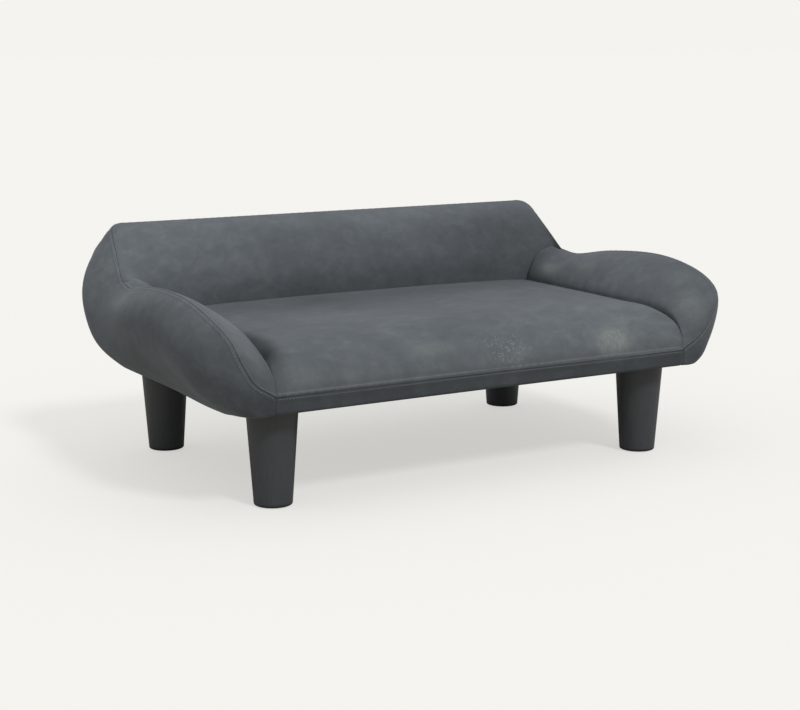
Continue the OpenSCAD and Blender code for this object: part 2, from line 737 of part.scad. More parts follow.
// Upright plywood panel inside an arm, its top following the arm's seam
function panel_rim(t) =
    rim(mix(front_steps, arm_last, mix(panel_front_share, panel_back_share, t)));
panel_front_y = panel_rim(0)[1];
panel_back_y = panel_rim(1)[1];
function arm_panel_outline(grow) =
    concat([[panel_front_y - grow, frame_z], [panel_back_y + grow, frame_z]],
        [for (k = [panel_steps : -1 : 0]) let(t = k / panel_steps, p = panel_rim(t))
            [p[1] + mix(-grow, grow, t), p[2] - arm_panel_in + grow]]);
module arm_panel_solid(grow) {
    translate([frame_half - grow, 0, 0])
        rotate([90, 0, 90])
            linear_extrude(ply_t + 2 * grow)
                polygon(arm_panel_outline(grow));
}
module right_arm_panel() {
    color(plywood)
        difference() {
            arm_panel_solid(0);
            panel_screw_places()
                screw_hole(panel_screw_l);
        }
}
module left_arm_panel() {
    mirror([1, 0, 0])
        right_arm_panel();
}
module arm_panel_screws() {
    color(steel)
        panel_screw_places()
            wood_screw(panel_screw_l);
}
module back_panel_solid(grow) {
    r = back_panel_r + grow;
    half = back_panel_half + grow;
    top = back_panel_h + grow;
    arc_steps = [0 : 15 : 90];
    translate([0, bracket_y + grow, deck_top])
        rotate([90, 0, 0])
            linear_extrude(ply_t + 2 * grow)
                polygon(concat([[-half, 0], [half, 0]],
                    [for (a = arc_steps) [half - r + r * cos(a), top - r + r * sin(a)]],
                    [for (a = arc_steps) [-half + r - r * sin(a), top - r + r * cos(a)]]));
}
module back_panel() {
    color(plywood)
        difference() {
            back_panel_solid(0);
            bracket_places()
                bracket_screw_places()
                    bracket_screw_hole();
        }
}
module back_brackets() {
    color(steel)
        bracket_places()
            difference() {
                union() {
                    translate([-bracket_w / 2, 0, 0])
                        cube([bracket_w, bracket_d, bracket_t]);
                    translate([-bracket_w / 2, 0, 0])
                        cube([bracket_w, bracket_t, bracket_h]);
                }
                bracket_screw_places()
                    bracket_screw_hole();
            }
}
module bracket_screws() {
    color(steel)
        bracket_places()
            bracket_screw_places()
                bracket_screw();
}

// Foam blocks
function seat_ring(k, grid) =
    let(left = grid[0][k] + [foam_gap, 0, 0], right = grid[seat_steps][k] - [foam_gap, 0, 0])
    concat([[right[0], right[1], deck_top], right], [for (i = [seat_steps - 1 : -1 : 1]) grid[i][k]],
        [left, [left[0], left[1], deck_top]]);
module seat_foam() {
    grid = inset(seat_grid, foam_in);
    rings = [for (k = [1 : seat_steps]) seat_ring(k, grid)];
    color(foam)
        loft(rings, middle(rings[0]), middle(rings[len(rings) - 1]));
}
module frame_cut(gap) {
    translate([0, 0, leg_h - overrun])
        frame_slab(deck_top - leg_h + overrun + gap, gap);
}
function with_wall(rings) =
    [for (r = rings) let(e = r[len(r) - 1]) concat(r, [[e[0], e[1], frame_z + foam_gap]])];
module right_arm_foam() {
    sections = [for (s = arm_stations) ring(outer_curve(s), roll_curve(s), gap_at(s))];
    end_y = notch[1] - block_gap;
    rings = [for (r = with_wall(inset_ridge(sections, foam_in, outer_rows)))
        [for (p = r) [p[0], min(p[1], end_y), p[2]]]];
    color(foam)
        difference() {
            loft(rings, middle(rings[0]), middle(rings[len(rings) - 1]));
            frame_cut(block_gap);
            arm_panel_solid(block_gap);
        }
}
module left_arm_foam() {
    mirror([1, 0, 0])
        right_arm_foam();
}
end_block_share = 0.95;
back_inset_share = 1.5;
module back_foam() {
    half = [for (s = stations(arm_last + 1 / station_steps, last_station))
        ring(outer_curve(s), back_curve(s), gap_at(s))];
    whole = with_wall(inset_ridge(both_sides(half), foam_in * back_inset_share, outer_rows));
    n = len(whole) - 1;
    rings = [for (i = [0 : n]) let(m = middle(whole[i]), share = i == 0 || i == n ? end_block_share : 1)
        [for (p = whole[i]) let(q = mix(m, p, share)) [q[0], q[1], max(q[2], frame_z + foam_gap)]]];
    color(foam)
        difference() {
            loft(rings, middle(rings[0]), middle(rings[n]));
            frame_cut(block_gap);
            back_panel_solid(block_gap);
            bracket_places()
                translate([-bracket_w / 2 - block_gap, -block_gap, -overrun])
                    cube([bracket_w + 2 * block_gap, bracket_d + 2 * block_gap,
                        bracket_h + overrun + block_gap]);
        }
}

// Covers
module outer_cover() {
    color(fabric)
        sheet(both_sides([for (s = outer_stations) outer_row(s)]), cover_t);
}
module front_band() {
    y0 = front_y;
    y1 = base_front_y;
    z0 = leg_h;
    z1 = seam_z - seam_gap;
    half = seat_half - seam_gap;
    color(band_grey)
        translate([-half, 0, 0])
            rotate([90, 0, 90])
                linear_extrude(2 * half)
                    polygon([[y0, z1], [y1, z0], [y1 + flange_w, z0], [y1 + flange_w, z0 + cover_t],
                        [y1 + cover_t, z0 + cover_t], [y0 + cover_t, z1]]);
}
module right_arm_cover() {
    color(fabric)
        sheet([for (s = roll_stations) roll_row(s)], cover_t);
}
module left_arm_cover() {
    mirror([1, 0, 0])
        right_arm_cover();
}
module back_cover() {
    color(fabric)
        sheet(both_sides([for (s = back_stations) back_row(s)]), cover_t);
}
module seat_cover() {
    color(fabric)
        sheet(seat_grid, cover_t);
}
dust_half = frame_half - flange_w - dust_gap;
dust_front = frame_front + flange_w + dust_gap;
dust_back = frame_back - flange_w - dust_gap;
dust_front_r = frame_front_r - flange_w;
dust_back_r = flange_back_r - dust_gap;
dust_z = frame_z - dust_t;
module dust_cover() {
    color(nylon)
        difference() {
            translate([0, 0, dust_z])
                linear_extrude(dust_t)
                    polygon(outline_full(dust_half, dust_front, dust_back, dust_front_r, dust_back_r));
            leg_places()
                translate([0, 0, dust_z - overrun])
                    cylinder(r = bolt_r + hole_gap, h = dust_t + 2 * overrun);
        }
}
module staple() {
    translate([-staple_l / 2, -staple_t / 2, -staple_t])
        cube([staple_l, staple_t, staple_t]);
    for (x = [-staple_l / 2, staple_l / 2 - staple_t])
        translate([x, -staple_t / 2, -staple_t])
            cube([staple_t, staple_t, staple_leg + staple_t]);
}
staple_in = 8;
staple_reach_x = block_joint_x - staple_pitch / 2;
staple_reach_y = (back_joint_y - front_joint_y - staple_pitch) / 2;
staple_count_x = round(staple_reach_x / staple_pitch);
staple_count_y = round(staple_reach_y / staple_pitch);
module staples() {
    color(steel) {
        for (k = [-staple_count_x : staple_count_x], y = [dust_front + staple_in, dust_back - staple_in])
            translate([k * staple_reach_x / staple_count_x, y, dust_z])
                staple();
        for (side = [-1, 1], k = [-staple_count_y : staple_count_y])
            translate([side * (dust_half - staple_in),
                    (front_joint_y + back_joint_y) / 2 + k * staple_reach_y / staple_count_y, dust_z])
                rotate([0, 0, 90])
                    staple();
    }
}

// One leg, standing on the floor at the origin
leg_arc_steps = [0 : 15 : 90];
module leg_body() {
    color(leg_grey)
        difference() {
            rotate_extrude()
                polygon(concat([[0, leg_bottom]],
                    [for (a = leg_arc_steps) [leg_foot_r - leg_edge_r + leg_edge_r * sin(a),
                        leg_bottom + leg_edge_r - leg_edge_r * cos(a)]],
                    [[leg_top_r, leg_h], [0, leg_h]]));
            translate([0, 0, leg_h - washer_t])
                cylinder(r = washer_r + thread_gap, h = washer_t + overrun);
            translate([0, 0, leg_h - bolt_down])
                cylinder(r = bolt_r, h = bolt_down + overrun);
            translate([0, 0, leg_bottom - overrun])
                cylinder(r = glide_r, h = glide_t - glide_proud + overrun);
            cylinder(r = nail_r, h = glide_t + nail_l);
        }
}
module bolt_body() {
    tip = bolt_r / 4;
    color(steel) {
        translate([0, 0, leg_h - bolt_down])
            cylinder(r = bolt_r, h = bolt_down + bolt_up - tip);
        translate([0, 0, leg_h + bolt_up - tip])
            cylinder(r1 = bolt_r, r2 = bolt_r - tip, h = tip);
    }
}
module washer_body() {
    color(nylon)
        translate([0, 0, leg_h - washer_t])
            difference() {
                cylinder(r = washer_r, h = washer_t);
                translate([0, 0, -overrun])
                    cylinder(r = bolt_r + thread_gap, h = washer_t + 2 * overrun);
            }
}
module glide_body() {
    color(nylon) {
        cylinder(r = glide_r, h = glide_t);
        cylinder(r = nail_r, h = glide_t + nail_l);
    }
}
module at_leg(side, y) {
    translate([side * leg_x, y, 0])
        children();
}

front_rail();
rear_rail();
left_rail();
right_rail();
cross_rails();
corner_blocks();
dowels();
rail_screws();
tee_nuts();
deck_panel();
deck_screws();
left_arm_panel();
right_arm_panel();
arm_panel_screws();
back_panel();
back_brackets();
bracket_screws();
seat_foam();
left_arm_foam();
right_arm_foam();
back_foam();
outer_cover();
front_band();
left_arm_cover();
right_arm_cover();
back_cover();
seat_cover();
dust_cover();
staples();
at_leg(-1, leg_front_y) leg_body();  // front_left_leg
at_leg(1, leg_front_y) leg_body();  // front_right_leg
at_leg(-1, leg_back_y) leg_body();  // back_left_leg
at_leg(1, leg_back_y) leg_body();  // back_right_leg
at_leg(-1, leg_front_y) bolt_body();  // front_left_bolt
at_leg(1, leg_front_y) bolt_body();  // front_right_bolt
at_leg(-1, leg_back_y) bolt_body();  // back_left_bolt
at_leg(1, leg_back_y) bolt_body();  // back_right_bolt
at_leg(-1, leg_front_y) washer_body();  // front_left_washer
at_leg(1, leg_front_y) washer_body();  // front_right_washer
at_leg(-1, leg_back_y) washer_body();  // back_left_washer
at_leg(1, leg_back_y) washer_body();  // back_right_washer
at_leg(-1, leg_front_y) glide_body();  // front_left_glide
at_leg(1, leg_front_y) glide_body();  // front_right_glide
at_leg(-1, leg_back_y) glide_body();  // back_left_glide
at_leg(1, leg_back_y) glide_body();  // back_right_glide
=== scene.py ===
"""Dog sofa bed: padded suede body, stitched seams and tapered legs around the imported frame.

Sizes are in millimetres, as in the part's source, and become metres where a mesh is made.
X runs along the sofa, Y to its back rest, Z up; the origin is on the floor under the body.
"""
from __future__ import annotations

import logging
import math
from dataclasses import dataclass
from enum import Enum
from typing import Sequence

import bmesh
import bpy
import numpy as np
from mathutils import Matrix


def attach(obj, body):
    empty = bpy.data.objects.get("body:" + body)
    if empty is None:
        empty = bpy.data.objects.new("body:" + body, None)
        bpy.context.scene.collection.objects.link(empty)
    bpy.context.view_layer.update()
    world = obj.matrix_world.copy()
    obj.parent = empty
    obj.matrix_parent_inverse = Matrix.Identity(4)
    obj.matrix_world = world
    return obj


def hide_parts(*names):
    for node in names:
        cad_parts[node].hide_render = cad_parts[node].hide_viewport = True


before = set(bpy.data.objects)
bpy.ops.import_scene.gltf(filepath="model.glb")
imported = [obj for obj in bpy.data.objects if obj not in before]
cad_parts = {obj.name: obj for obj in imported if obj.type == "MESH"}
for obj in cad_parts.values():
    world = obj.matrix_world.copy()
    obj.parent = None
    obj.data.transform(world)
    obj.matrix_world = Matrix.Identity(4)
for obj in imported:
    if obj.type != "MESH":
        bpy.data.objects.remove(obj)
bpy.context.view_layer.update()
LOG = logging.getLogger("dog_sofa")
MM = 0.001


class Side(Enum):
    """The two arms, as seen from the front."""

    LEFT = -1
    RIGHT = 1


class Slot(Enum):
    """The record's material slots that new pieces take their finish from."""

    SUEDE = "suede"
    DUST_CLOTH = "dust_cloth"
    LEG_PAINT = "leg_paint"


# Curves and noise
def ease(t: np.ndarray) -> np.ndarray:
    """Smooth step from 0 to 1: 3t^2 - 2t^3 of t held between 0 and 1."""
    c = np.clip(t, 0.0, 1.0)
    return c * c * (3.0 - 2.0 * c)


def bump_at(d: np.ndarray, centre: float, width: float) -> np.ndarray:
    """Bell curve of height 1 at a distance, exp(-((d - centre) / width)^2)."""
    return np.exp(-(((d - centre) / width) ** 2))


def through(values: Sequence, s: np.ndarray) -> np.ndarray:
    """Smooth (Catmull-Rom) curve through a list of values.

    Args:
        values: numbers or points, one for each whole s from 0.
        s: where to read the curve, shape (n,).

    Returns:
        The values there, shape (n,) or (n, k).
    """
    p = np.asarray(values, float)
    last = len(p) - 2
    i = np.clip(np.floor(s).astype(int), 0, last)
    t = s - i
    e = np.concatenate([[2 * p[0] - p[1]], p, [2 * p[-1] - p[-2]]])
    a, b, c, d = e[i], e[i + 1], e[i + 2], e[i + 3]
    if p.ndim > 1:
        t = t[:, None]
    return 0.5 * (2 * b + (c - a) * t + (2 * a - 5 * b + 4 * c - d) * t**2 + (3 * b - a - 3 * c + d) * t**3)


def along(values: Sequence, s: np.ndarray) -> np.ndarray:
    """Straight lines through a list of values, read at s of shape (n,).

    Args:
        values: numbers or points, one for each whole s from 0.
        s: where to read the lines, shape (n,).

    Returns:
        The values there, shape (n,) or (n, k).
    """
    p = np.asarray(values, float)
    i = np.clip(np.floor(s).astype(int), 0, len(p) - 2)
    t = s - i
    if p.ndim > 1:
        t = t[:, None]
    return p[i] * (1 - t) + p[i + 1] * t


def bezier(handles: np.ndarray, t: np.ndarray) -> np.ndarray:
    """Cubic curves: handles (n, 4, 3) read at t (m,), giving points (n, m, 3).

    Args:
        handles: the curves' handles, shape (n, 4, 3).
        t: places along them from 0 to 1, shape (m,).

    Returns:
        Points, shape (n, m, 3).
    """
    t = np.asarray(t, float)
    w = np.stack([(1 - t) ** 3, 3 * (1 - t) ** 2 * t, 3 * (1 - t) * t**2, t**3])
    return np.einsum("nkc,km->nmc", handles, w)


def run_along(points: np.ndarray) -> np.ndarray:
    """Distance along lines of points: shape (..., m) for points of shape (..., m, 3)."""
    step = np.linalg.norm(np.diff(points, axis=-2), axis=-1)
    return np.concatenate([np.zeros(step.shape[:-1] + (1,)), np.cumsum(step, axis=-1)], axis=-1)


def resample(paths: np.ndarray, d: np.ndarray) -> np.ndarray:
    """Points at given distances along rows of points, by straight lines between them.

    Args:
        paths: rows of points, shape (n, m, 3).
        d: distances from each row's first point, shape (n, k).

    Returns:
        Points, shape (n, k, 3).
    """
    out = np.empty(d.shape + (3,))
    for r, run in enumerate(run_along(paths)):
        for c in range(3):
            out[r, :, c] = np.interp(d[r], run, paths[r, :, c])
    return out


def unit(v: np.ndarray) -> np.ndarray:
    """Vectors of length 1 in the same directions."""
    return v / np.maximum(np.linalg.norm(v, axis=-1, keepdims=True), 1e-9)


def grid_normals(g: np.ndarray) -> np.ndarray:
    """Normals of a grid, the cross product of its steps down the rows and along them."""
    return unit(np.cross(np.gradient(g, axis=0), np.gradient(g, axis=1)))


def round_end(rest: np.ndarray, radius: float) -> np.ndarray:
    """Drop of a quarter-round edge at a distance from the edge, radius (1 - sqrt(1 - q^2))."""
    q = np.clip(1 - rest / radius, 0, 1)
    return radius * (1 - np.sqrt(np.clip(1 - q * q, 0, 1)))


def noise(p: np.ndarray, size: float, seed: int) -> np.ndarray:
    """Value noise from -1 to 1: random numbers on a lattice of the given size, eased between.

    Args:
        p: points, shape (..., 3), in millimetres.
        size: lattice spacing in millimetres.
        seed: which field.

    Returns:
        Values, shape (...).
    """
    q = p / size + 1000.0
    i = np.floor(q).astype(np.int64)
    f = q - i
    f = f * f * (3 - 2 * f)
    total = np.zeros(p.shape[:-1])
    for k in range(8):
        o = np.array([k & 1, (k >> 1) & 1, (k >> 2) & 1])
        c = i + o
        h = (c[..., 0] * 73856093) ^ (c[..., 1] * 19349663) ^ (c[..., 2] * 83492791) ^ (seed * 2654435)
        h = (h ^ (h >> 13)) * 1274126177 & 0x7FFFFFFF
        h = (h ^ (h >> 15)) * 2246822519 & 0x7FFFFFFF
        w = np.prod(np.where(o, f, 1 - f), axis=-1)
        total += w * (h / 0x3FFFFFFF - 1.0)
    return total


# The body's form
ARM_SEAM = [[0.29, 0.0098, 0.30], [0.48, 0.0027, 0.5125], [0.60, 0.0202, 0.716], [0.68, 0.1234, 0.869],
            [0.70, 0.2857, 0.973], [0.70, 0.461, 1.0], [0.645, 0.6916, 0.954], [0.565, 0.8796, 0.869],
            [0.526, 0.9907, 0.896]]
OUTLINE = [0, 1, 1.27, 1.54, 1.785, 2, 2.2, 2.4, 2.6, 2.8, 3, 3.275, 3.55, 3.8, 4, 5]
SWELL = [0, 0, 0.70, 0.62, 0.85] + [1] * 11
PULL = [[0.84, 0], [0.507, 1.625], [0.971, 2.4], [0.768, 2.125], [0.406, 1.7], [0.13, 1.45], [0, 1.5675]]
CREVICE = [0, 0.0035, 0.0115, 0.032, 0.099, 0.251, 0.445, 0.687, 0.878, 1]
ROLL_REACH = [0, 0.30, 0.26, 0.20] + [0.17] * 6
ROLL_LIFT = [0, 0.22, 0.33, 0.67, 0.89, 1, 1, 1, 1, 1]
INNER_REACH = [0, 0.30, 0.25, 0.20, 0.12, 0.08, 0.05, 0.02, 0, 0]
INNER_LIFT = [0, 0.08, 0.18, 0.34, 0.60, 0.80, 0.90, 0.96, 0.96, 1]
PUFF = [0, 0.17, 0.5, 0.83, 1, 0.5, 0, 0, 0, 0]
DROP = [0.33, 0.33, 0.33, 0.25, 0.12, 0.04, 0, 0, 0, 0]
FOOT = [0.997, 0.961, 0.915, 0.855, 0.805, 0]
BACK_UPPER = [[0, 0, -0.115], [-0.03, -0.115, -0.086], [-0.057, -0.172, -0.043],
              [-0.057, -0.258, 0], [-0.029, -0.315, 0.0215], [0, -0.33, 0.025]]
BACK_LOWER = [[0, 0, 0.129], [0.0215, -0.007, 0.229], [0.0286, -0.007, 0.373],
              [0.0286, -0.007, 0.502], [0.0143, -0.007, 0.602], [0, -0.007, 0.617]]
CORNER_MID = np.array([0.39, 0.91, 1.07])

# Stations of the seam: the front's vertical seam, the notch beside the back, both ends of the
# back's top corner, and the middle of the back.
SEAM, NOTCH, TURN, TOP, MIDDLE = 1, 10, 12, 14, 15


@dataclass(frozen=True)
class Form:
    """The body's driving sizes, in millimetres, and the surfaces worked out from them.

    A station s runs from 0 at the middle of the front, 1 at the front's vertical seam, up the
    arm's seam to 10 at the notch beside the back, 12 to 14 round the back's top corner, and 15 at
    the middle of the back. Every surface is a cubic curve at each station.
    """

    body_w: float = 980.0
    body_d: float = 576.0
    arm_h: float = 160.0
    back_h: float = 227.5
    arm_w: float = 116.0
    base_side_in: float = 63.0
    base_front_in: float = 8.0
    base_back_in: float = 40.0
    base_back_r: float = 99.0
    belly_front_r: float = 97.0
    belly_back_r: float = 139.0
    band_h: float = 25.0
    seat_rise: float = 68.0
    shoulder_run: float = 113.0
    seat_crown: float = 2.5
    seat_edge_drop: float = 3.0
    edge_tuck: float = 14.0
    tuck_start: float = 11.0
    tuck_run: float = 130.0
    front_seam_in: float = 7.0
    back_thick: float = 135.0
    back_seam_in: float = 40.0
    end_in: float = 69.0
    end_drop: float = 14.0
    end_run: float = 31.0
    end_turn: float = 22.0
    end_bulge: float = 7.0
    roll_lift: float = 3.0
    inner_lift: float = 30.0
    front_puff: float = 6.0
    leg_h: float = 155.0
    flange_w: float = 16.0
    band_pad: float = 3.0
    frame_out: float = 21.0
    frame_back_in: float = 8.0
    frame_back_r: float = 75.0
    frame_z: float = 156.2
    deck_top: float = 187.2
    lower_share: float = 0.31
    upper_share: float = 0.17
    shoulder_power: float = 2.35
    edge_power: float = 10.0

    @property
    def half_w(self) -> float:
        """Half the width over the arms."""
        return self.body_w / 2

    @property
    def half_d(self) -> float:
        """Half the depth over all."""
        return self.body_d / 2

    @property
    def seat_half(self) -> float:
        """Half the width of the front between its vertical seams."""
        return self.half_w - self.arm_w

    @property
    def base_half(self) -> float:
        """Half the width of the underside."""
        return self.half_w - self.base_side_in

    @property
    def front_y(self) -> float:
        """Depth of the front seam."""
        return self.front_seam_in - self.half_d

    @property
    def back_y(self) -> float:
        """Depth of the foot of the back rest's front face."""
        return self.half_d - self.back_thick

    @property
    def seam_z(self) -> float:
        """Height of the front seam."""
        return self.leg_h + self.band_h

    @property
    def back_foot_z(self) -> float:
        """Height at which the back rest meets the seat."""
        return self.seam_z + self.seat_rise - self.seat_edge_drop - self.seat_crown

    @property
    def frame_half(self) -> float:
        """Half the width of the wooden frame."""
        return self.seat_half + self.frame_out

    @property
    def frame_front(self) -> float:
        """Depth of the frame's front."""
        return self.base_front_in - self.half_d + self.band_pad

    @property
    def frame_back(self) -> float:
        """Depth of the frame's back."""
        return self.half_d - self.base_back_in - self.frame_back_in

    @property
    def arm_seam(self) -> np.ndarray:
        """Points of the arm's seam at stations 1 to 10.

        Returns:
            Points, shape (10, 3).
        """
        a = np.array(ARM_SEAM)
        rows = np.stack([self.seat_half + a[:, 0] * self.arm_w,
                         -self.half_d + a[:, 1] * (self.back_y + self.half_d),
                         self.leg_h + a[:, 2] * self.arm_h], axis=1)
        return np.concatenate([[[self.seat_half, self.front_y, self.seam_z]], rows])

    def rim(self, s: np.ndarray) -> np.ndarray:
        """The seam that runs round the whole sofa, right half, shape (n, 3).

        Args:
            s: stations, shape (n,).

        Returns:
            Points, shape (n, 3).
        """
        seam = self.arm_seam
        top_y, top_z = self.half_d - self.back_seam_in, self.leg_h + self.back_h
        corner = np.array([self.half_w - self.end_in, top_y - self.end_turn, top_z - self.end_drop])
        end = np.array([corner[0] - self.end_run, top_y, top_z])
        mid = corner * (1 - CORNER_MID) + end * CORNER_MID + self.end_bulge * np.array([1.0, 0.0, 0.25])
        t = np.clip((s - TURN) / 2, 0, 1)[:, None]
        front = np.stack([self.seat_half * s, np.full_like(s, self.front_y), np.full_like(s, self.seam_z)], 1)
        up = (np.clip(s - NOTCH, 0, 2) / 2)[:, None]
        last = np.clip(MIDDLE - s, 0, 1)
        return np.select(
            [(s < SEAM)[:, None], (s <= NOTCH)[:, None], (s <= TURN)[:, None], (s <= TOP)[:, None]],
            [front, through(seam, np.clip(s - SEAM, 0, 9)), seam[-1] * (1 - up) + corner * up,
             corner * (1 - t) ** 2 + 2 * mid * t * (1 - t) + end * t**2],
            np.stack([end[0] * last, np.full_like(s, top_y), np.full_like(s, top_z)], 1))

    @staticmethod
    def outline(hw: float, yf: float, yb: float, rf: float, rb: float, u: np.ndarray) -> np.ndarray:
        """Point on a rounded outline, right half.

        Args:
            hw: half width.
            yf: front depth.
            yb: back depth.
            rf: front corner radius.
            rb: back corner radius.
            u: place, 0 front middle, 1 to 2 front corner, 3 to 4 back corner, 5 back middle.

        Returns:
            X and Y, shape (n, 2).
        """
        f, b = np.pi / 2 * (u - 1), np.pi / 2 * (u - 3)
        x = np.select([u <= 1, u <= 2, u <= 3, u <= 4],
                      [(hw - rf) * u, hw - rf + rf * np.sin(f), hw + 0 * u, hw - rb + rb * np.cos(b)],
                      (hw - rb) * (5 - u))
        y = np.select([u <= 1, u <= 2, u <= 3, u <= 4],
                      [yf + 0 * u, yf + rf - rf * np.cos(f), (yf + rf) * (3 - u) + (yb - rb) * (u - 2),
                       yb - rb + rb * np.sin(b)], yb)
        return np.stack([x, y], axis=1)

    def level(self, xy: np.ndarray) -> np.ndarray:
        """Plan points set at the level of the underside."""
        return np.concatenate([xy, np.full((len(xy), 1), self.leg_h)], axis=1)

    def base(self, s: np.ndarray) -> np.ndarray:
        """Lower edge of the body at each station.

        Args:
            s: stations, shape (n,).

        Returns:
            Points, shape (n, 3).
        """
        return self.level(self.outline(self.base_half, self.base_front_in - self.half_d,
                                       self.half_d - self.base_back_in, self.base_half - self.seat_half,
                                       self.base_back_r, through(OUTLINE, s)))

    def flange(self, s: np.ndarray) -> np.ndarray:
        """Inner edge of the cover where it is turned under the frame.

        Args:
            s: stations, shape (n,).

        Returns:
            Points, shape (n, 3).
        """
        hw = self.frame_half - self.flange_w
        return self.level(self.outline(hw, self.frame_front + self.flange_w, self.frame_back - self.flange_w,
                                       hw - self.seat_half, self.frame_back_r - self.flange_w,
                                       through(OUTLINE, s)))

    def outer_curve(self, s: np.ndarray) -> np.ndarray:
        """Handles of the outer curve, from the lower edge up to the seam, shape (n, 4, 3).

        Args:
            s: stations, shape (n,).

        Returns:
            Handles, shape (n, 4, 3).
        """
        low, high = self.base(s), self.rim(s)
        belly = self.outline(self.half_w, -self.half_d, self.half_d, self.belly_front_r,
                             self.belly_back_r, through(OUTLINE, s))
        v = (belly - (low[:, :2] + high[:, :2]) / 2) * (through(SWELL, s) * 4 / 3)[:, None]
        pull = through(PULL, np.clip(s - 9, 0, 6)) * np.array([self.end_in, self.back_seam_in])
        blend = ease(s - 8)[:, None]
        w = v * (1 - blend) + pull * blend
        rise = (high - low)[:, 2:]
        lower = low + np.concatenate([v, self.lower_share * rise], axis=1)
        upper = high + np.concatenate([w, -self.upper_share * rise], axis=1)
        return np.stack([low, lower, upper, high], axis=1)

    def seat_height(self, y: np.ndarray) -> np.ndarray:
        """Height of the seat over the front seam: a rounded shoulder that runs level behind it."""
        q = np.clip((self.front_y + self.shoulder_run - y) / self.shoulder_run, 0, 1)
        return self.seat_rise * (1 - q**self.shoulder_power) ** (1 / self.shoulder_power)

    def seat_edge(self, y: np.ndarray) -> np.ndarray:
        """Half width of the seat, which the arms press in behind its front."""
        return self.seat_half - self.edge_tuck * ease((y - self.front_y - self.tuck_start) / self.tuck_run)

    def crevice(self, s: np.ndarray) -> np.ndarray:
        """Where the arm roll meets the seat.

        Args:
            s: stations, shape (n,).

        Returns:
            Points, shape (n, 3).
        """
        share = through(CREVICE, s - 1)
        y = np.maximum(self.front_y, self.front_y * (1 - share) + self.back_y * share)
        return np.stack([self.seat_edge(y), y, self.seam_z + self.seat_height(y)], axis=1)

    def roll_curve(self, s: np.ndarray) -> np.ndarray:
        """Handles of the arm roll, from the seam over the roll and down to the seat.

        Args:
            s: stations, shape (n,).

        Returns:
            Handles, shape (n, 4, 3).
        """
        k = s - 1
        high, low = self.rim(s), self.crevice(s)
        d = low - high
        puff = -self.front_puff * through(PUFF, k)
        reach, tuck = through(ROLL_REACH, k), through(INNER_REACH, k)
        upper = np.stack([d[:, 0] * reach, d[:, 1] * reach + puff,
                          self.roll_lift * through(ROLL_LIFT, k) + d[:, 2] * through(DROP, k)], axis=1)
        lower = np.stack([-d[:, 0] * tuck, -d[:, 1] * tuck + puff,
                          self.inner_lift * through(INNER_LIFT, k)], axis=1)
        return np.stack([high, high + upper, low + lower, low], axis=1)

    def back_curve(self, s: np.ndarray) -> np.ndarray:
        """Handles of the back rest's front face, from the seam down to the seat.

        Args:
            s: stations, shape (n,).

        Returns:
            Handles, shape (n, 4, 3).
        """
        k = s - 10
        high = self.rim(s)
        low = np.stack([self.arm_seam[-1][0] * along(FOOT, k), np.full_like(s, self.back_y),
                        np.full_like(s, self.back_foot_z)], axis=1)
        h = self.leg_h + self.back_h - self.back_foot_z
        return np.stack([high, high + along(BACK_UPPER, k) * h, low + along(BACK_LOWER, k) * h, low], axis=1)

    def seam_normal(self, s: np.ndarray) -> np.ndarray:
        """Outward direction at the seam, halfway between the two surfaces sewn there.

        Args:
            s: stations, shape (n,).

        Returns:
            Vectors of length 1, shape (n, 3).
        """
        tangent = unit(np.stack([np.gradient(c, s) for c in self.rim(s).T], axis=1))
        outer = self.outer_curve(s)
        roll = self.roll_curve(np.clip(s, SEAM + 0.02, NOTCH))
        face = self.back_curve(np.clip(s, NOTCH, MIDDLE))
        inner = np.select([(s < SEAM)[:, None], (s <= NOTCH)[:, None]],
                          [np.tile([0.0, 0.0, 1.0], (len(s), 1)), roll[:, 1] - roll[:, 0]],
                          face[:, 1] - face[:, 0])
        out = unit(np.cross(outer[:, 2] - outer[:, 3], tangent))
        return unit(out + unit(np.cross(tangent, inner)))

    def stations(self, first: float, last: float, pitch: float) -> np.ndarray:
        """Stations spaced evenly along the seam.

        Args:
            first: first station.
            last: last station.
            pitch: distance between them, in millimetres.

        Returns:
            Stations, shape (n,).
        """
        s = np.linspace(first, last, 4001)
        run = run_along(self.rim(s))
        return np.interp(np.linspace(0, run[-1], int(run[-1] / pitch) + 1), run, s)


FORM = Form()
# Places along a curve at which it is drawn before it is divided by distance.
DENSE = np.linspace(0, 1, 241)
# Distances from a seam at which the fabric has a row of points.
NEAR = np.array([0, 0.5, 1.0, 1.5, 2.1, 2.8, 3.5, 4.2, 4.9, 5.6, 6.3, 7.2, 8.6, 10.5])


def spread(total: np.ndarray, pitch: float) -> np.ndarray:
    """Distances along rows: fine steps beside the seam, then even ones to the end.

    The fine steps are drawn closer together on rows shorter than four of their run.

    Args:
        total: each row's length, shape (n,).
        pitch: longest even step.

    Returns:
        Distances, shape (n, k).
    """
    fine = NEAR[None] * np.clip(total / (4 * NEAR[-1]), 0, 1)[:, None]
    start = fine[:, -1:]
    count = int(np.ceil((total.max() - NEAR[-1]) / pitch))
    even = np.linspace(0, 1, count + 1)[1:]
    return np.concatenate([fine, start + (total[:, None] - start) * even], axis=1)


# Meshes
def grid_faces(n: int, m: int, closed: bool = False, flip: bool = False) -> np.ndarray:
    """Four-sided faces of a grid of n rows and m points, its rows closed if asked.

    Args:
        n: number of rows.
        m: points in a row.
        closed: whether each row is a ring.
        flip: turn the faces over.

    Returns:
        Indices, shape (faces, 4).
    """
    i, j = np.meshgrid(np.arange(n - 1), np.arange(m if closed else m - 1), indexing="ij")
    k = (j + 1) % m
    f = np.stack([i * m + j, (i + 1) * m + j, (i + 1) * m + k, i * m + k], axis=-1).reshape(-1, 4)
    return f[:, ::-1] if flip else f


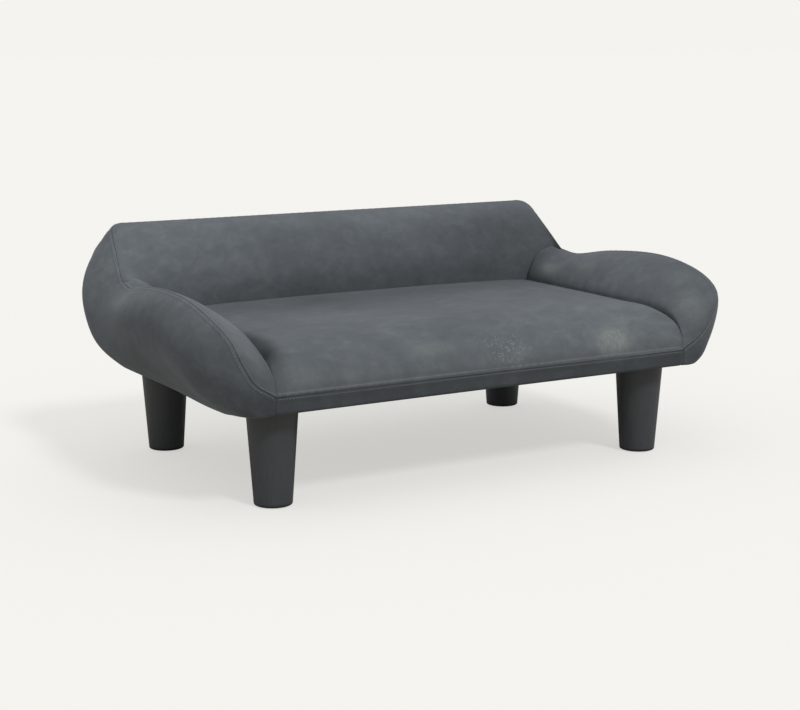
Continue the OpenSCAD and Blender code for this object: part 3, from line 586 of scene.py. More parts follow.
def make_object(name: str, points: np.ndarray, faces: Sequence, nap: np.ndarray | None = None,
                tidy: bool = False) -> bpy.types.Object:
    """A smooth-shaded mesh object at the origin, its place in its mesh.

    Args:
        name: the piece's name.
        points: vertices in millimetres, shape (n, 3).
        faces: rows of vertex indices.
        nap: tone of the pile at each vertex, with painted light and shade worked in, 1 for the plain colour.
        tidy: merge doubles and turn every face outwards, for closed meshes.

    Returns:
        The object.
    """
    mesh = bpy.data.meshes.new(name)
    mesh.from_pydata((points * MM).tolist(), [], [list(map(int, f)) for f in faces])
    if nap is not None:
        for title, values in (("nap", nap), ("rub", patches(points, RUBBED)),
                              ("speck", patches(points, SPECKLED))):
            mesh.attributes.new(title, "FLOAT", "POINT").data.foreach_set("value", values.astype(np.float32))
    if tidy:
        bm = bmesh.new()
        bm.from_mesh(mesh)
        bmesh.ops.remove_doubles(bm, verts=bm.verts, dist=1e-6)
        bmesh.ops.recalc_face_normals(bm, faces=bm.faces)
        bm.to_mesh(mesh)
        bm.free()
    mesh.update()
    mesh.polygons.foreach_set("use_smooth", np.ones(len(mesh.polygons), bool))
    piece = bpy.data.objects.new(name, mesh)
    bpy.context.collection.objects.link(piece)
    return piece


def closed_rings(rings: np.ndarray) -> tuple[np.ndarray, list]:
    """Points and faces of a solid through rings, closed at both ends round their middles.

    Args:
        rings: rows of points, each a ring, shape (n, m, 3).

    Returns:
        Points, shape (n * m + 2, 3), and faces.
    """
    n, m = rings.shape[:2]
    points = np.concatenate([rings.reshape(-1, 3), [rings[0].mean(0)], [rings[-1].mean(0)]])
    j = np.arange(m)
    k = (j + 1) % m
    base = (n - 1) * m
    first = np.stack([np.full(m, n * m), j, k], axis=1)
    last = np.stack([np.full(m, n * m + 1), base + k, base + j], axis=1)
    return points, grid_faces(n, m, closed=True).tolist() + first.tolist() + last.tolist()


def mirrored(g: np.ndarray) -> np.ndarray:
    """The same points on the other side of the middle."""
    return g * np.array([-1.0, 1.0, 1.0])


def both_sides(g: np.ndarray) -> np.ndarray:
    """Rows of the right half followed by the left half's, which end where the right ones start."""
    return np.concatenate([g, mirrored(g[-2::-1])])


def lathe(profile: np.ndarray, segments: int) -> tuple[np.ndarray, np.ndarray]:
    """A profile of radius and height turned round the Z axis.

    Args:
        profile: radius and height from the bottom's middle to the top's, shape (m, 2).
        segments: steps round the axis.

    Returns:
        Points, shape (segments * m, 3), and faces.
    """
    a = np.linspace(0, 2 * np.pi, segments, endpoint=False)
    r, z = profile.T
    x, y = r * np.cos(a)[:, None], r * np.sin(a)[:, None]
    g = np.stack([x, y, np.broadcast_to(z, x.shape)], axis=-1)
    g = np.concatenate([g, g[:1]])
    return g.reshape(-1, 3), grid_faces(segments + 1, len(profile))


# Sewing
@dataclass(frozen=True)
class SeamRelief:
    """How fabric lies beside a sewn edge: it dives into the groove, lifts into a lip over the
    folded allowance, and is drawn down again under the row of topstitching."""

    lip: float = 0.65
    furrow: float = 0.32
    seed: int = 1
    depth: float = 1.2
    width: float = 1.3
    lip_at: float = 3.6
    lip_wide: float = 2.4
    furrow_at: float = 8.2
    furrow_wide: float = 2.6
    pucker: float = 0.28
    pucker_wave: float = 13.5
    pucker_fade: float = 13.0
    pucker_start: float = 3.0
    wander: float = 2.2

    def shape(self, g: np.ndarray, d: np.ndarray, run: np.ndarray, seam: np.ndarray,
              normals: np.ndarray) -> np.ndarray:
        """Press the seam's relief into a grid.

        The dive follows a quarter circle, depth (1 - sqrt(1 - (1 - d/width)^2)), along the seam's
        own normal; lip, furrow and puckers lie along the surface's normal.

        Args:
            g: the grid, shape (n, k, 3).
            d: distance of each point from the seam, shape (n, k).
            run: distance of each row along the seam, shape (n,).
            seam: seam normals, shape (n, 3).
            normals: surface normals, shape (n, k, 3).

        Returns:
            The grid with the relief.
        """
        dive = self.depth * round_end(d / self.width, 1.0)
        line = np.stack([run, 0 * run, 0 * run], axis=1)
        wave = np.sin(2 * np.pi * run / self.pucker_wave + self.wander * noise(line, 60, self.seed))
        size = 0.55 + 0.45 * noise(line, 45, self.seed + 5)
        fade = np.exp(-d / self.pucker_fade) * np.clip(d / self.pucker_start, 0, 1)
        rise = (self.lip * bump_at(d, self.lip_at, self.lip_wide)
                - self.furrow * bump_at(d, self.furrow_at, self.furrow_wide)
                + self.pucker * (wave * size)[:, None] * fade)
        return g - seam[:, None] * dive[..., None] + normals * rise[..., None]


# One stitch from end to end: shares of its length, thickness, and height over the fabric.
STITCH_AT = np.array([-0.5, -0.38, 0.0, 0.38, 0.5])
STITCH_THICK = np.array([0.35, 0.9, 1.0, 0.9, 0.35])
STITCH_RISE = np.array([-0.75, -0.1, 0.15, -0.1, -0.75])


@dataclass(frozen=True)
class Stitching:
    """A row of topstitching: short lengths of thread that dip into the fabric at both ends."""

    pitch: float = 5.4
    length: float = 3.7
    radius: float = 0.36
    sink: float = 0.12
    sides: int = 6

    def build(self, name: str, line: np.ndarray, normals: np.ndarray) -> bpy.types.Object:
        """Stitches along a line.

        Args:
            name: the piece's name.
            line: points on the fabric, shape (n, 3).
            normals: the fabric's normals there, shape (n, 3).

        Returns:
            One mesh of all the stitches.
        """
        run = run_along(line)
        count = int((run[-1] - self.length) / self.pitch)
        centres = self.pitch * (np.arange(count) + 0.5) + (run[-1] - self.pitch * count) / 2
        at = centres[:, None] + STITCH_AT * self.length
        p = np.stack([np.interp(at, run, c) for c in line.T], axis=-1)
        n = unit(np.stack([np.interp(at, run, c) for c in normals.T], axis=-1))
        b = np.cross(unit(np.gradient(p, axis=1)), n)
        p = p + n * (STITCH_RISE * self.radius - self.sink)[:, None]
        a = np.linspace(0, 2 * np.pi, self.sides, endpoint=False)
        ring = (p[:, :, None] + self.radius * STITCH_THICK[None, :, None, None]
                * (np.cos(a)[:, None] * b[:, :, None] + np.sin(a)[:, None] * n[:, :, None]))
        rows, sides = len(STITCH_AT), self.sides
        size = rows * sides
        body = grid_faces(rows, sides, closed=True)
        faces = (np.arange(count)[:, None, None] * size + body[None]).reshape(-1, 4).tolist()
        ends = np.arange(count)[:, None] * size + np.arange(sides)[None]
        faces += ends.tolist() + (ends[:, ::-1] + size - sides).tolist()
        return make_object(name, ring.reshape(-1, 3), faces, tidy=True)


# Finishes
def srgb(code: str) -> tuple[float, float, float, float]:
    """Linear colour of an sRGB hex code such as '5F6468'.

    Args:
        code: six hex digits.

    Returns:
        Red, green and blue, and an alpha of 1.
    """
    c = np.array([int(code[i:i + 2], 16) for i in (0, 2, 4)]) / 255
    lin = np.where(c <= 0.04045, c / 12.92, ((c + 0.055) / 1.055) ** 2.4)
    return (*map(float, lin), 1.0)


def node(tree: bpy.types.NodeTree, kind: str, links: dict | None = None, **settings) -> bpy.types.Node:
    """Add a node.

    Args:
        tree: the node tree.
        kind: the node's type, without its ShaderNode prefix.
        links: input name or number to a value, or to a (node, output) pair that feeds it.
        **settings: the node's own properties.

    Returns:
        The node.
    """
    made = tree.nodes.new("ShaderNode" + kind)
    for key, value in settings.items():
        setattr(made, key, value)
    for key, value in (links or {}).items():
        socket = made.inputs[key]
        if isinstance(value, tuple) and value and isinstance(value[0], bpy.types.Node):
            tree.links.new(value[0].outputs[value[1]], socket)
        else:
            socket.default_value = value
    return made


def ramp(tree: bpy.types.NodeTree, source: tuple, stops: Sequence[tuple[float, str]]) -> tuple:
    """A colour ramp fed by a node's output, from (place, hex code) stops; returns its colour.

    Args:
        tree: the node tree.
        source: the node and output that feed it.
        stops: places from 0 to 1, each with its hex code.

    Returns:
        The ramp and its colour output.
    """
    made = node(tree, "ValToRGB", {"Fac": source})
    marks = made.color_ramp.elements
    for mark, (place, code) in zip(marks, (stops[0], stops[-1])):
        mark.position, mark.color = place, srgb(code)
    for place, code in stops[1:-1]:
        marks.new(place).color = srgb(code)
    return made, "Color"


def speckled(tree: bpy.types.NodeTree, at: tuple, size: float, detail: float = 2.0, **inputs) -> tuple:
    """Noise of a real size in metres; returns its value."""
    return node(tree, "TexNoise", {"Vector": at, "Scale": 1 / size, "Detail": detail, **inputs}), "Fac"


def stretched(tree: bpy.types.NodeTree, at: tuple, *scale: float) -> tuple:
    """Coordinates scaled along X, Y and Z; a scale under 1 draws a pattern out."""
    return node(tree, "Mapping", {"Vector": at, "Scale": scale}), "Vector"


def banded(tree: bpy.types.NodeTree, at: tuple, width: float, inputs: dict, **settings) -> tuple:
    """Wave texture with light and dark bands of a width in metres, by X, Y or Z."""
    return node(tree, "TexWave", {"Vector": at, "Scale": 1 / (width * 6.3), **inputs}, **settings), "Fac"


def blend(tree: bpy.types.NodeTree, share: object, a: object, b: object, kind: str = "FLOAT") -> tuple:
    """Two values or colours mixed; returns the result."""
    return node(tree, "Mix", {"Factor": share, "A": a, "B": b}, data_type=kind), "Result"


def times(tree: bpy.types.NodeTree, a: object, b: object, kind: str = "Math", way: str = "MULTIPLY") -> tuple:
    """Product of two values, or of a colour and a value with kind VectorMath, or the larger one."""
    return node(tree, kind, {0: a, 1: b}, operation=way), "Value" if kind == "Math" else "Vector"


def mapped(tree: bpy.types.NodeTree, value: tuple, low: float, high: float, start: float = 0.0,
           end: float = 1.0) -> tuple:
    """A value that runs from low to high while its source runs from start to end."""
    return node(tree, "MapRange", {"Value": value, "From Min": start, "From Max": end,
                                   "To Min": low, "To Max": high}), "Result"


def raised(tree: bpy.types.NodeTree, height: tuple, strength: float, depth: float, **inputs) -> tuple:
    """Relief from a value, its depth in metres; returns the normal."""
    return node(tree, "Bump", {"Strength": strength, "Distance": depth, "Height": height, **inputs}), "Normal"


def empty_tree(owner: bpy.types.Material | bpy.types.World) -> bpy.types.NodeTree:
    """The node tree of a new material or world, emptied.

    Args:
        owner: the material or world.

    Returns:
        Its node tree.
    """
    owner.use_nodes = True
    owner.node_tree.nodes.clear()
    return owner.node_tree


@dataclass(frozen=True)
class Finish:
    """A finish: its name, and the shader's inputs that each kind of finish works out."""

    name: str

    def inputs(self, tree: bpy.types.NodeTree, at: tuple) -> dict:
        """The shader's inputs, painted on the object's own coordinates.

        Args:
            tree: the material's node tree.
            at: the object's own coordinates, a node and its output.

        Returns:
            Names of inputs with their values, or with a node and its output.
        """
        raise NotImplementedError

    def build(self) -> bpy.types.Material:
        """The finish as a node-based material.

        Returns:
            The material.
        """
        material = bpy.data.materials.new(self.name)
        tree = empty_tree(material)
        shader = node(tree, "BsdfPrincipled", self.inputs(tree, (node(tree, "TexCoord"), "Object")))
        node(tree, "OutputMaterial", {"Surface": (shader, "BSDF")})
        return material


@dataclass(frozen=True)
class Suede(Finish):
    """Brushed microfibre suede: a short matt pile, blotched where it has been stroked."""

    name: str = "slate_microfibre_suede"
    dark: str = "585D61"
    plain: str = "60656A"
    light: str = "6C7175"
    sheen: str = "C9D0D6"
    blotch: float = 0.095
    streak: float = 0.018
    grain: float = 0.0011
    brush: float = 0.005
    dot: float = 0.0036
    rubbed: str = "8C928E"
    rubbed_cover: float = 0.68

    def inputs(self, tree: bpy.types.NodeTree, at: tuple) -> dict:
        """Noise at three real sizes: 95 mm blotches, 18 mm strokes and 1.1 mm pile.

        The pile is finer in life, about 0.2 mm; it is drawn at 1.1 mm, which still shows. Where
        the pile is rubbed pale, upright brush marks 5 mm wide or dots of 3.6 mm show through.

        Args:
            tree: the material's node tree.
            at: the object's own coordinates, a node and its output.

        Returns:
            Names of inputs with their values, or with a node and its output.
        """
        blotch = speckled(tree, at, self.blotch, 3.0, Roughness=0.55, Distortion=0.6)
        stroked = stretched(tree, at, 0.75, 1.0, 1.0)
        streak = speckled(tree, stroked, self.streak, 4.0, Roughness=0.6, Distortion=0.4)
        pile = speckled(tree, at, self.grain, Roughness=0.7)
        both = blend(tree, 0.58, blotch, streak)
        tone = blend(tree, 0.22, both, pile)
        colour = ramp(tree, tone, [(0.34, self.dark), (0.5, self.plain), (0.66, self.light)])
        # The point attribute holds the pile's tone with painted light and shade: painted shade in seam
        # grooves, crevices, the seat's rear and low on the ends, and painted highlights on seam lips.
        nap = node(tree, "Attribute", attribute_name="nap")
        shaded = times(tree, colour, (nap, "Fac"), "VectorMath")
        brush = speckled(tree, stretched(tree, at, 1.0, 1.0, 0.16), self.brush, 3.0)
        dots = speckled(tree, at, self.dot)
        marks = []
        for title, source, low, high, least in (("rub", brush, 0.36, 0.66, 0.54),
                                                ("speck", dots, 0.55, 0.66, 0.0)):
            mask = node(tree, "Attribute", attribute_name=title)
            marks.append(times(tree, (mask, "Fac"), mapped(tree, source, least, 1.0, low, high)))
        cover = times(tree, times(tree, *marks, way="MAXIMUM"), self.rubbed_cover)
        fine = raised(tree, pile, 0.45, 0.0006)
        return {"Base Color": blend(tree, cover, shaded, srgb(self.rubbed), "RGBA"),
                "Roughness": mapped(tree, streak, 0.86, 0.97),
                "Normal": raised(tree, both, 0.30, 0.002, Normal=fine), "Specular IOR Level": 0.18,
                "Sheen Weight": 0.22, "Sheen Roughness": 0.42, "Sheen Tint": srgb(self.sheen)}


@dataclass(frozen=True)
class Thread(Finish):
    """Bonded polyester thread: two plies twisted to the left, with a slight shine."""

    code: str = "858C92"
    twist: float = 0.0056

    def inputs(self, tree: bpy.types.NodeTree, at: tuple) -> dict:
        """Slanting bands about 2 mm apart stand for the twist, with painted shade making it darker between
        the plies.

        Args:
            tree: the material's node tree.
            at: the object's own coordinates, a node and its output.

        Returns:
            Names of inputs with their values, or with a node and its output.
        """
        ply = (node(tree, "TexWave", {"Vector": at, "Scale": 1 / self.twist, "Distortion": 1.5},
                    bands_direction="DIAGONAL"), "Fac")
        colour = times(tree, srgb(self.code)[:3], mapped(tree, ply, 0.72, 1.0), "VectorMath")
        return {"Base Color": colour, "Roughness": 0.55, "Normal": raised(tree, ply, 0.4, 0.0002),
                "Sheen Weight": 0.2}


@dataclass(frozen=True)
class LegPaint(Finish):
    """Beech turned and sprayed with satin charcoal paint: the grain shows faintly as relief."""

    name: str = "satin_charcoal_on_beech"
    dark: str = "3D4043"
    plain: str = "3F4246"
    light: str = "46494D"
    foot_shade: str = "1D1D1E"
    grain: float = 0.003
    peel: float = 0.0015
    foot_shade_from: float = 0.0035
    foot_shade_to: float = 0.0065

    def inputs(self, tree: bpy.types.NodeTree, at: tuple) -> dict:
        """Long grain 3 mm wide up the leg, orange peel 1.5 mm, and a foot darkened with painted shade where
        it meets the floor.

        Args:
            tree: the material's node tree.
            at: the object's own coordinates, a node and its output.

        Returns:
            Names of inputs with their values, or with a node and its output.
        """
        grain = speckled(tree, stretched(tree, at, 1.0, 1.0, 0.06), self.grain, 5.0, Roughness=0.6)
        tone = blend(tree, 0.25, grain, speckled(tree, at, self.peel, 1.0))
        colour = ramp(tree, tone, [(0.3, self.dark), (0.5, self.plain), (0.7, self.light)])
        # Painted shade: the lowest few millimetres of the leg, by the floor, are drawn near black.
        height = (node(tree, "SeparateXYZ", {0: at}), "Z")
        foot = mapped(tree, height, 1.0, 0.0, self.foot_shade_from, self.foot_shade_to)
        return {"Base Color": blend(tree, foot, colour, srgb(self.foot_shade), "RGBA"),
                "Roughness": mapped(tree, tone, 0.36, 0.52), "Normal": raised(tree, tone, 0.12, 0.0004)}


@dataclass(frozen=True)
class Grain(Finish):
    """Planed pine or sanded plywood: growth rings cut along the grain, with pores."""

    axis: int = 0
    ring: float = 0.004
    light: str = "DDBF8C"
    dark: str = "BE9558"
    layers: float = 0.0
    pore: float = 0.0009

    def inputs(self, tree: bpy.types.NodeTree, at: tuple) -> dict:
        """Rings of the given width in metres, drawn out 12 times along the grain's axis.

        Plywood also gets its veneers: bands of the given thickness up its Z.

        Args:
            tree: the material's node tree.
            at: the object's own coordinates, a node and its output.

        Returns:
            Names of inputs with their values, or with a node and its output.
        """
        long = stretched(tree, at, *(0.08 if axis == self.axis else 1.0 for axis in range(3)))
        rings = banded(tree, long, self.ring, {"Distortion": 7.0, "Detail": 2.0, "Detail Scale": 1.4},
                       wave_type="RINGS", rings_direction="XYZ"[self.axis])
        pores = speckled(tree, long, self.pore, 3.0)
        tone = blend(tree, 0.3, rings, pores)
        if self.layers:
            veneer = banded(tree, at, self.layers, {"Distortion": 0.4}, bands_direction="Z")
            tone = blend(tree, 0.35, tone, veneer)
        return {"Base Color": ramp(tree, tone, [(0.2, self.dark), (0.75, self.light)]),
                "Roughness": mapped(tree, pores, 0.5, 0.72), "Normal": raised(tree, tone, 0.2, 0.0004)}


@dataclass(frozen=True)
class ZincSteel(Finish):
    """Zinc-plated mild steel: bright, with the plating's 4 mm spangle and fine rubbing."""

    name: str = "zinc_plated_steel"
    spangle: float = 0.004
    rub: float = 0.0006

    def inputs(self, tree: bpy.types.NodeTree, at: tuple) -> dict:
        """Cells 4 mm across shift the tone, and 0.6 mm noise the roughness.

        Args:
            tree: the material's node tree.
            at: the object's own coordinates, a node and its output.

        Returns:
            Names of inputs with their values, or with a node and its output.
        """
        cells = (node(tree, "TexVoronoi", {"Vector": at, "Scale": 1 / self.spangle}), "Distance")
        return {"Base Color": ramp(tree, cells, [(0.0, "A9ACB0"), (0.8, "C2C4C8")]), "Metallic": 1.0,
                "Roughness": mapped(tree, speckled(tree, at, self.rub), 0.25, 0.45)}


@dataclass(frozen=True)
class Nylon(Finish):
    """Injection-moulded black nylon: matt, with a fine spark texture."""

    name: str = "moulded_black_nylon"
    spark: float = 0.0008

    def inputs(self, tree: bpy.types.NodeTree, at: tuple) -> dict:
        """Spark texture 0.8 mm across in tone, roughness and relief.

        Args:
            tree: the material's node tree.
            at: the object's own coordinates, a node and its output.

        Returns:
            Names of inputs with their values, or with a node and its output.
        """
        spark = speckled(tree, at, self.spark)
        return {"Base Color": ramp(tree, spark, [(0.3, "151516"), (0.7, "222224")]),
                "Roughness": mapped(tree, spark, 0.5, 0.7), "Normal": raised(tree, spark, 0.25, 0.0002)}


@dataclass(frozen=True)
class DustClothFinish(Finish):
    """Spun-bonded polypropylene: thin black felt pressed with a grid of small bond points."""

    name: str = "black_spunbonded_cloth"
    bond: float = 0.0025
    fibre: float = 0.001

    def inputs(self, tree: bpy.types.NodeTree, at: tuple) -> dict:
        """Bond points 2.5 mm apart, pressed in, over loose 1 mm fibre noise.

        Args:
            tree: the material's node tree.
            at: the object's own coordinates, a node and its output.

        Returns:
            Names of inputs with their values, or with a node and its output.
        """
        points = node(tree, "TexVoronoi", {"Vector": at, "Scale": 1 / self.bond, "Randomness": 0.12})
        tone = blend(tree, 0.5, (points, "Distance"), speckled(tree, at, self.fibre, 4.0))
        return {"Base Color": ramp(tree, tone, [(0.2, "0F0F10"), (0.7, "252527")]), "Roughness": 0.9,
                "Normal": raised(tree, tone, 0.5, 0.0003), "Specular IOR Level": 0.25}


# Tone of the pile with painted light and shade: places as a centre, a reach along X, Y and Z, and
# a gain. Most rows are painted light and shade: the back lighter at its left end and darker at its
# right, a painted highlight along its top and painted shade low on its face, painted shade along
# the seat's rear and in the pocket beside the left arm, painted shade low on the ends, and lighter
# or darker places on the arms. Two rows are darker smudges on the seat.
PILE_AND_SHADING = [
    ((-388, 188, 343), (110, 80, 60), 0.26), ((340, 175, 325), (150, 80, 90), -0.32),
    ((60, 200, 378), (500, 30, 16), 0.12), ((0, 180, 320), (430, 40, 40), -0.07),
    ((0, 160, 268), (420, 30, 30), -0.20), ((-150, 80, 250), (250, 110, 30), -0.34),
    ((200, 90, 250), (220, 90, 30), -0.27), ((250, -215, 240), (120, 60, 40), 0.10),
    ((-491, -120, 262), (60, 150, 60), -0.20), ((-481, -115, 215), (40, 90, 26), 0.09),
    ((-440, -40, 195), (160, 330, 34), -0.20), ((440, -40, 195), (160, 330, 34), -0.08),
    ((-400, -190, 275), (60, 80, 45), 0.28), ((-430, 90, 312), (60, 50, 24), -0.14),
    ((-424, 142, 300), (30, 18, 12), 0.10), ((-412, 160, 302), (20, 20, 12), 0.20),
    ((455, -150, 300), (50, 110, 30), -0.01), ((-366, -222, 240), (21, 58, 34), -0.78),
    ((-350, -152, 242), (12, 48, 20), -0.60), ((-119, 67, 250), (40, 26, 20), -0.16),
    ((-121, -25, 249), (36, 24, 20), -0.14), ((-102, -258, 228), (60, 14, 16), 0.07),
]
# The same for the outer panel alone: painted shade at its two lower front corners and in a thin strip at its
# left front vertical seam.
CORNER_SHADE = [
    ((-395, -275, 178), (60, 55, 40), -0.34), ((-384, -284, 164), (36, 30, 24), -0.36),
    ((404, -272, 168), (54, 44, 32), -0.34), ((-374, -283, 162), (3, 30, 20), -0.42),
]
# Where the pile is rubbed pale, and where it has pale specks.
RUBBED = [
    ((237, -274, 211), (26, 18, 24), 1.0), ((256, -258, 228), (18, 20, 12), 0.3),
    ((210, -277, 204), (10, 12, 20), 0.5), ((400, -263, 258), (20, 24, 28), 0.45),
    ((428, -200, 285), (16, 30, 14), 0.3), ((369, 98, 277), (14, 26, 13), 0.6),
    ((385, 10, 292), (14, 30, 13), 0.4), ((-102, -262, 226), (40, 12, 16), 0.25),
    ((-330, -275, 210), (26, 12, 26), 0.22),
]
SPECKLED = [
    ((31, -267, 216), (34, 22, 22), 0.9), ((66, -272, 208), (18, 14, 12), 0.2),
    ((-14, -256, 228), (26, 20, 12), 0.3),
]


def blob(p: np.ndarray, centre: Sequence[float], reach: Sequence[float]) -> np.ndarray:
    """Bell curve of height 1 round a point, exp(-sum(((p - centre) / reach)^2))."""
    return np.exp(-(((p - centre) / np.asarray(reach, float)) ** 2).sum(axis=-1))


def patches(p: np.ndarray, places: Sequence) -> np.ndarray:
    """How strongly each point lies in one of some patches, 0 to 1, with rather firm edges."""
    shares = [gain * np.minimum(1.6 * blob(p, centre, reach), 1) for centre, reach, gain in places]
    return np.max(shares, axis=0)


def toned(tone: np.ndarray, p: np.ndarray, places: Sequence) -> np.ndarray:
    """A tone with the gains of some places worked in at the points p.

    Args:
        tone: the tone, a factor on the colour at each point.
        p: points, shape (..., 3), in millimetres.
        places: centres, reaches and gains.

    Returns:
        The tone with every place worked in.
    """
    for centre, reach, gain in places:
        tone = tone * (1 + gain * blob(p, centre, reach))
    return tone


def pile_and_shading(p: np.ndarray) -> np.ndarray:
    """Tone of the suede at points of the body: slow random unevenness of the pile, with painted light and
    shade worked in.

    The back is painted lighter at its left end and darker at its right, with a painted highlight
    along its top. The seat has painted shade along its rear and in the pocket beside the left arm,
    and two darker smudges. The ends have a little painted shade low down.

    Args:
        p: points, shape (..., 3), in millimetres.

    Returns:
        Factor on the colour, shape (...).
    """
    slow = 0.03 * noise(p, 170, 11) + 0.03 * noise(p, 62, 12)
    return toned(1 + slow + 0.025 * noise(p * [0.8, 1, 1.1], 20, 13), p, PILE_AND_SHADING)


def seam_shading(d: np.ndarray) -> np.ndarray:
    """Tone beside a seam: painted shade in the groove, a painted highlight on the lip, a little painted shade
    in the furrow behind it.

    Args:
        d: distances from the seam in millimetres.

    Returns:
        Factor on the colour, shaped as d.
    """
    groove = 1 - 0.26 * bump_at(d, 0, 1.0)
    lip = 1 + 0.13 * bump_at(d, 3.8, 2.0)
    behind = 1 - 0.05 * bump_at(d, 8.5, 3.0)
    return groove * lip * behind


# The padded body
@dataclass(frozen=True)
class ClothPass:
    """Cloth simulation of a piece of fabric sewn down all round and blown up from inside."""

    pitch: float = 9.0
    pressure: float = 2.0
    frames: int = 14
    cap: float = 4.0
    smoothing: int = 2
    quality: int = 6
    stretch: float = 15.0
    bend: float = 2.0

    def picks(self, g: np.ndarray, axis: int) -> np.ndarray:
        """Rows (axis 0) or columns (axis 1) of a grid spaced by the pitch, both ends among them.

        Args:
            g: the grid, shape (n, k, 3).
            axis: 0 for rows, 1 for columns.

        Returns:
            Indices of the picked rows or columns.
        """
        steps = np.linalg.norm(np.diff(g, axis=axis), axis=2).max(axis=1 - axis)
        run = np.concatenate([[0], np.cumsum(steps)])
        at = np.linspace(0, run[-1], max(int(run[-1] / self.pitch), 4) + 1)
        return np.unique(np.searchsorted(run, at - 1e-6).clip(0, len(run) - 1))

    def swollen(self, coarse: np.ndarray) -> np.ndarray:
        """Run the simulation on a coarse grid and return its moves, in millimetres.

        Args:
            coarse: the grid, shape (n, m, 3), in millimetres.

        Returns:
            Moves, shape (n, m, 3).
        """
        n, m = coarse.shape[:2]
        piece = make_object("cloth_pass", coarse.reshape(-1, 3), grid_faces(n, m))
        index = np.arange(n * m).reshape(n, m)
        rim = np.unique(np.concatenate([index[0], index[-1], index[:, 0], index[:, -1]]))
        piece.vertex_groups.new(name="sewn").add(rim.tolist(), 1.0, "REPLACE")
        cloth = piece.modifiers.new("cloth", "CLOTH")
        rules = cloth.settings
        rules.vertex_group_mass = "sewn"
        rules.quality = self.quality
        rules.use_pressure = True
        rules.uniform_pressure_force = self.pressure
        rules.effector_weights.gravity = 0.0
        rules.tension_stiffness = rules.compression_stiffness = self.stretch
        rules.bending_stiffness = self.bend
        cloth.point_cache.frame_end = self.frames
        for step in range(1, self.frames + 1):
            bpy.context.scene.frame_set(step)
        rested = piece.evaluated_get(bpy.context.evaluated_depsgraph_get())
        at = np.empty(n * m * 3, np.float32)
        rested.data.vertices.foreach_get("co", at)
        bpy.context.scene.frame_set(1)
        mesh = piece.data
        bpy.data.objects.remove(piece)
        bpy.data.meshes.remove(mesh)
        return at.reshape(coarse.shape) / MM - coarse

    def settle(self, g: np.ndarray) -> np.ndarray:
        """Where the fabric comes to rest, as moves of a grid's points.

        A coarse copy of the grid, its four sides pinned, swells for some frames without weight.
        Moves are held under the cap by cap * tanh(length / cap) and spread over the fine grid.

        Args:
            g: the grid, shape (n, k, 3), in millimetres.
        """
        rows, cols = self.picks(g, 0), self.picks(g, 1)
        move = self.swollen(g[np.ix_(rows, cols)])
        size = np.linalg.norm(move, axis=2, keepdims=True)
        move *= self.cap * np.tanh(size / self.cap) / np.maximum(size, 1e-6)
        for _ in range(self.smoothing):
            near = move[:-2, 1:-1] + move[2:, 1:-1] + move[1:-1, :-2] + move[1:-1, 2:]
            move[1:-1, 1:-1] = 0.5 * move[1:-1, 1:-1] + 0.125 * near
        LOG.info("cloth pass: %d points, largest move %.1f mm", size.size, size.max())
        down, across = (np.stack([np.interp(np.arange(count), picked, hat) for hat in np.eye(len(picked))], 1)
                        for count, picked in zip(g.shape, (rows, cols)))
        return np.einsum("na,abc,kb->nkc", down, move, across, optimize=True)


CLOTH = ClothPass()
# Fabric lies flat and tight within this distance of its sewn edges.
HELD = 25.0


@dataclass
class Fabric:
    """A finished grid of fabric with what the sewing and the stitches need of it."""

    points: np.ndarray
    distance: np.ndarray

    def nap(self, points: np.ndarray, rings: int) -> np.ndarray:
        """Tone of the pile, with painted light and shade, on a padded solid whose rings start with this
        fabric's points.

        Args:
            points: the solid's points, the last two of which close its ends.
            rings: number of its rings.

        Returns:
            Factor on the colour, one for each point.
        """
        tone = pile_and_shading(points)
        shown = tone[:-2].reshape(rings, -1)
        shown[:, :self.distance.shape[1]] *= seam_shading(self.distance)
        return tone

    def line_at(self, d: float, facing: float = 1.0) -> tuple[np.ndarray, np.ndarray]:
        """The row of points nearest to a distance from the seam, and the normals there."""
        j = int(np.argmin(np.abs(self.distance.max(axis=0) - d)))
        return self.points[:, j], facing * grid_normals(self.points)[:, j]

    def whole(self, middle_first: bool = False) -> Fabric:
        """Both sides of a right half, whose last row, or first row if so asked, is the middle.

        Args:
            middle_first: whether the first row is the middle, not the last.

        Returns:
            The fabric of both sides.
        """
        p, d = self.points, self.distance
        if middle_first:
            return Fabric(np.concatenate([mirrored(p[:0:-1]), p]), np.concatenate([d[:0:-1], d]))
        return Fabric(both_sides(p), np.concatenate([d, d[-2::-1]]))


def swell(p: np.ndarray, normals: np.ndarray, amount: float, seed: int) -> np.ndarray:
    """Slow unevenness of stuffing under fabric: noise at 140 and 60 mm along the normals."""
    rise = noise(p, 140, seed) + 0.4 * noise(p, 60, seed + 1)
    return normals * (amount * rise)[..., None]


def ironed(g: np.ndarray, share: np.ndarray, spread_rows: float) -> np.ndarray:
    """A grid with its rows smoothed into each other by a bell curve some rows wide.

    Args:
        g: the grid, shape (n, k, 3).
        share: how far each point is smoothed, 0 to 1, shape (n, k).
        spread_rows: the bell curve's width in rows.

    Returns:
        The smoothed grid.
    """
    reach = int(3 * spread_rows)
    wide = np.concatenate([2 * g[:1] - g[reach:0:-1], g, 2 * g[-1:] - g[-2:-reach - 2:-1]])
    weight = bump_at(np.arange(-reach, reach + 1), 0, spread_rows * math.sqrt(2))
    weight /= weight.sum()
    soft = sum(w * wide[i:i + len(g)] for i, w in enumerate(weight))
    return g + (soft - g) * share[..., None]


# Fuller places of the outer panel: station, reach in stations, height above the lower edge,
# reach in height, and how far they stand out.
CHEEKS = [(2.7, 1.1, 22.0, 20.0, 4.0), (10.5, 1.6, 60.0, 36.0, 4.2)]
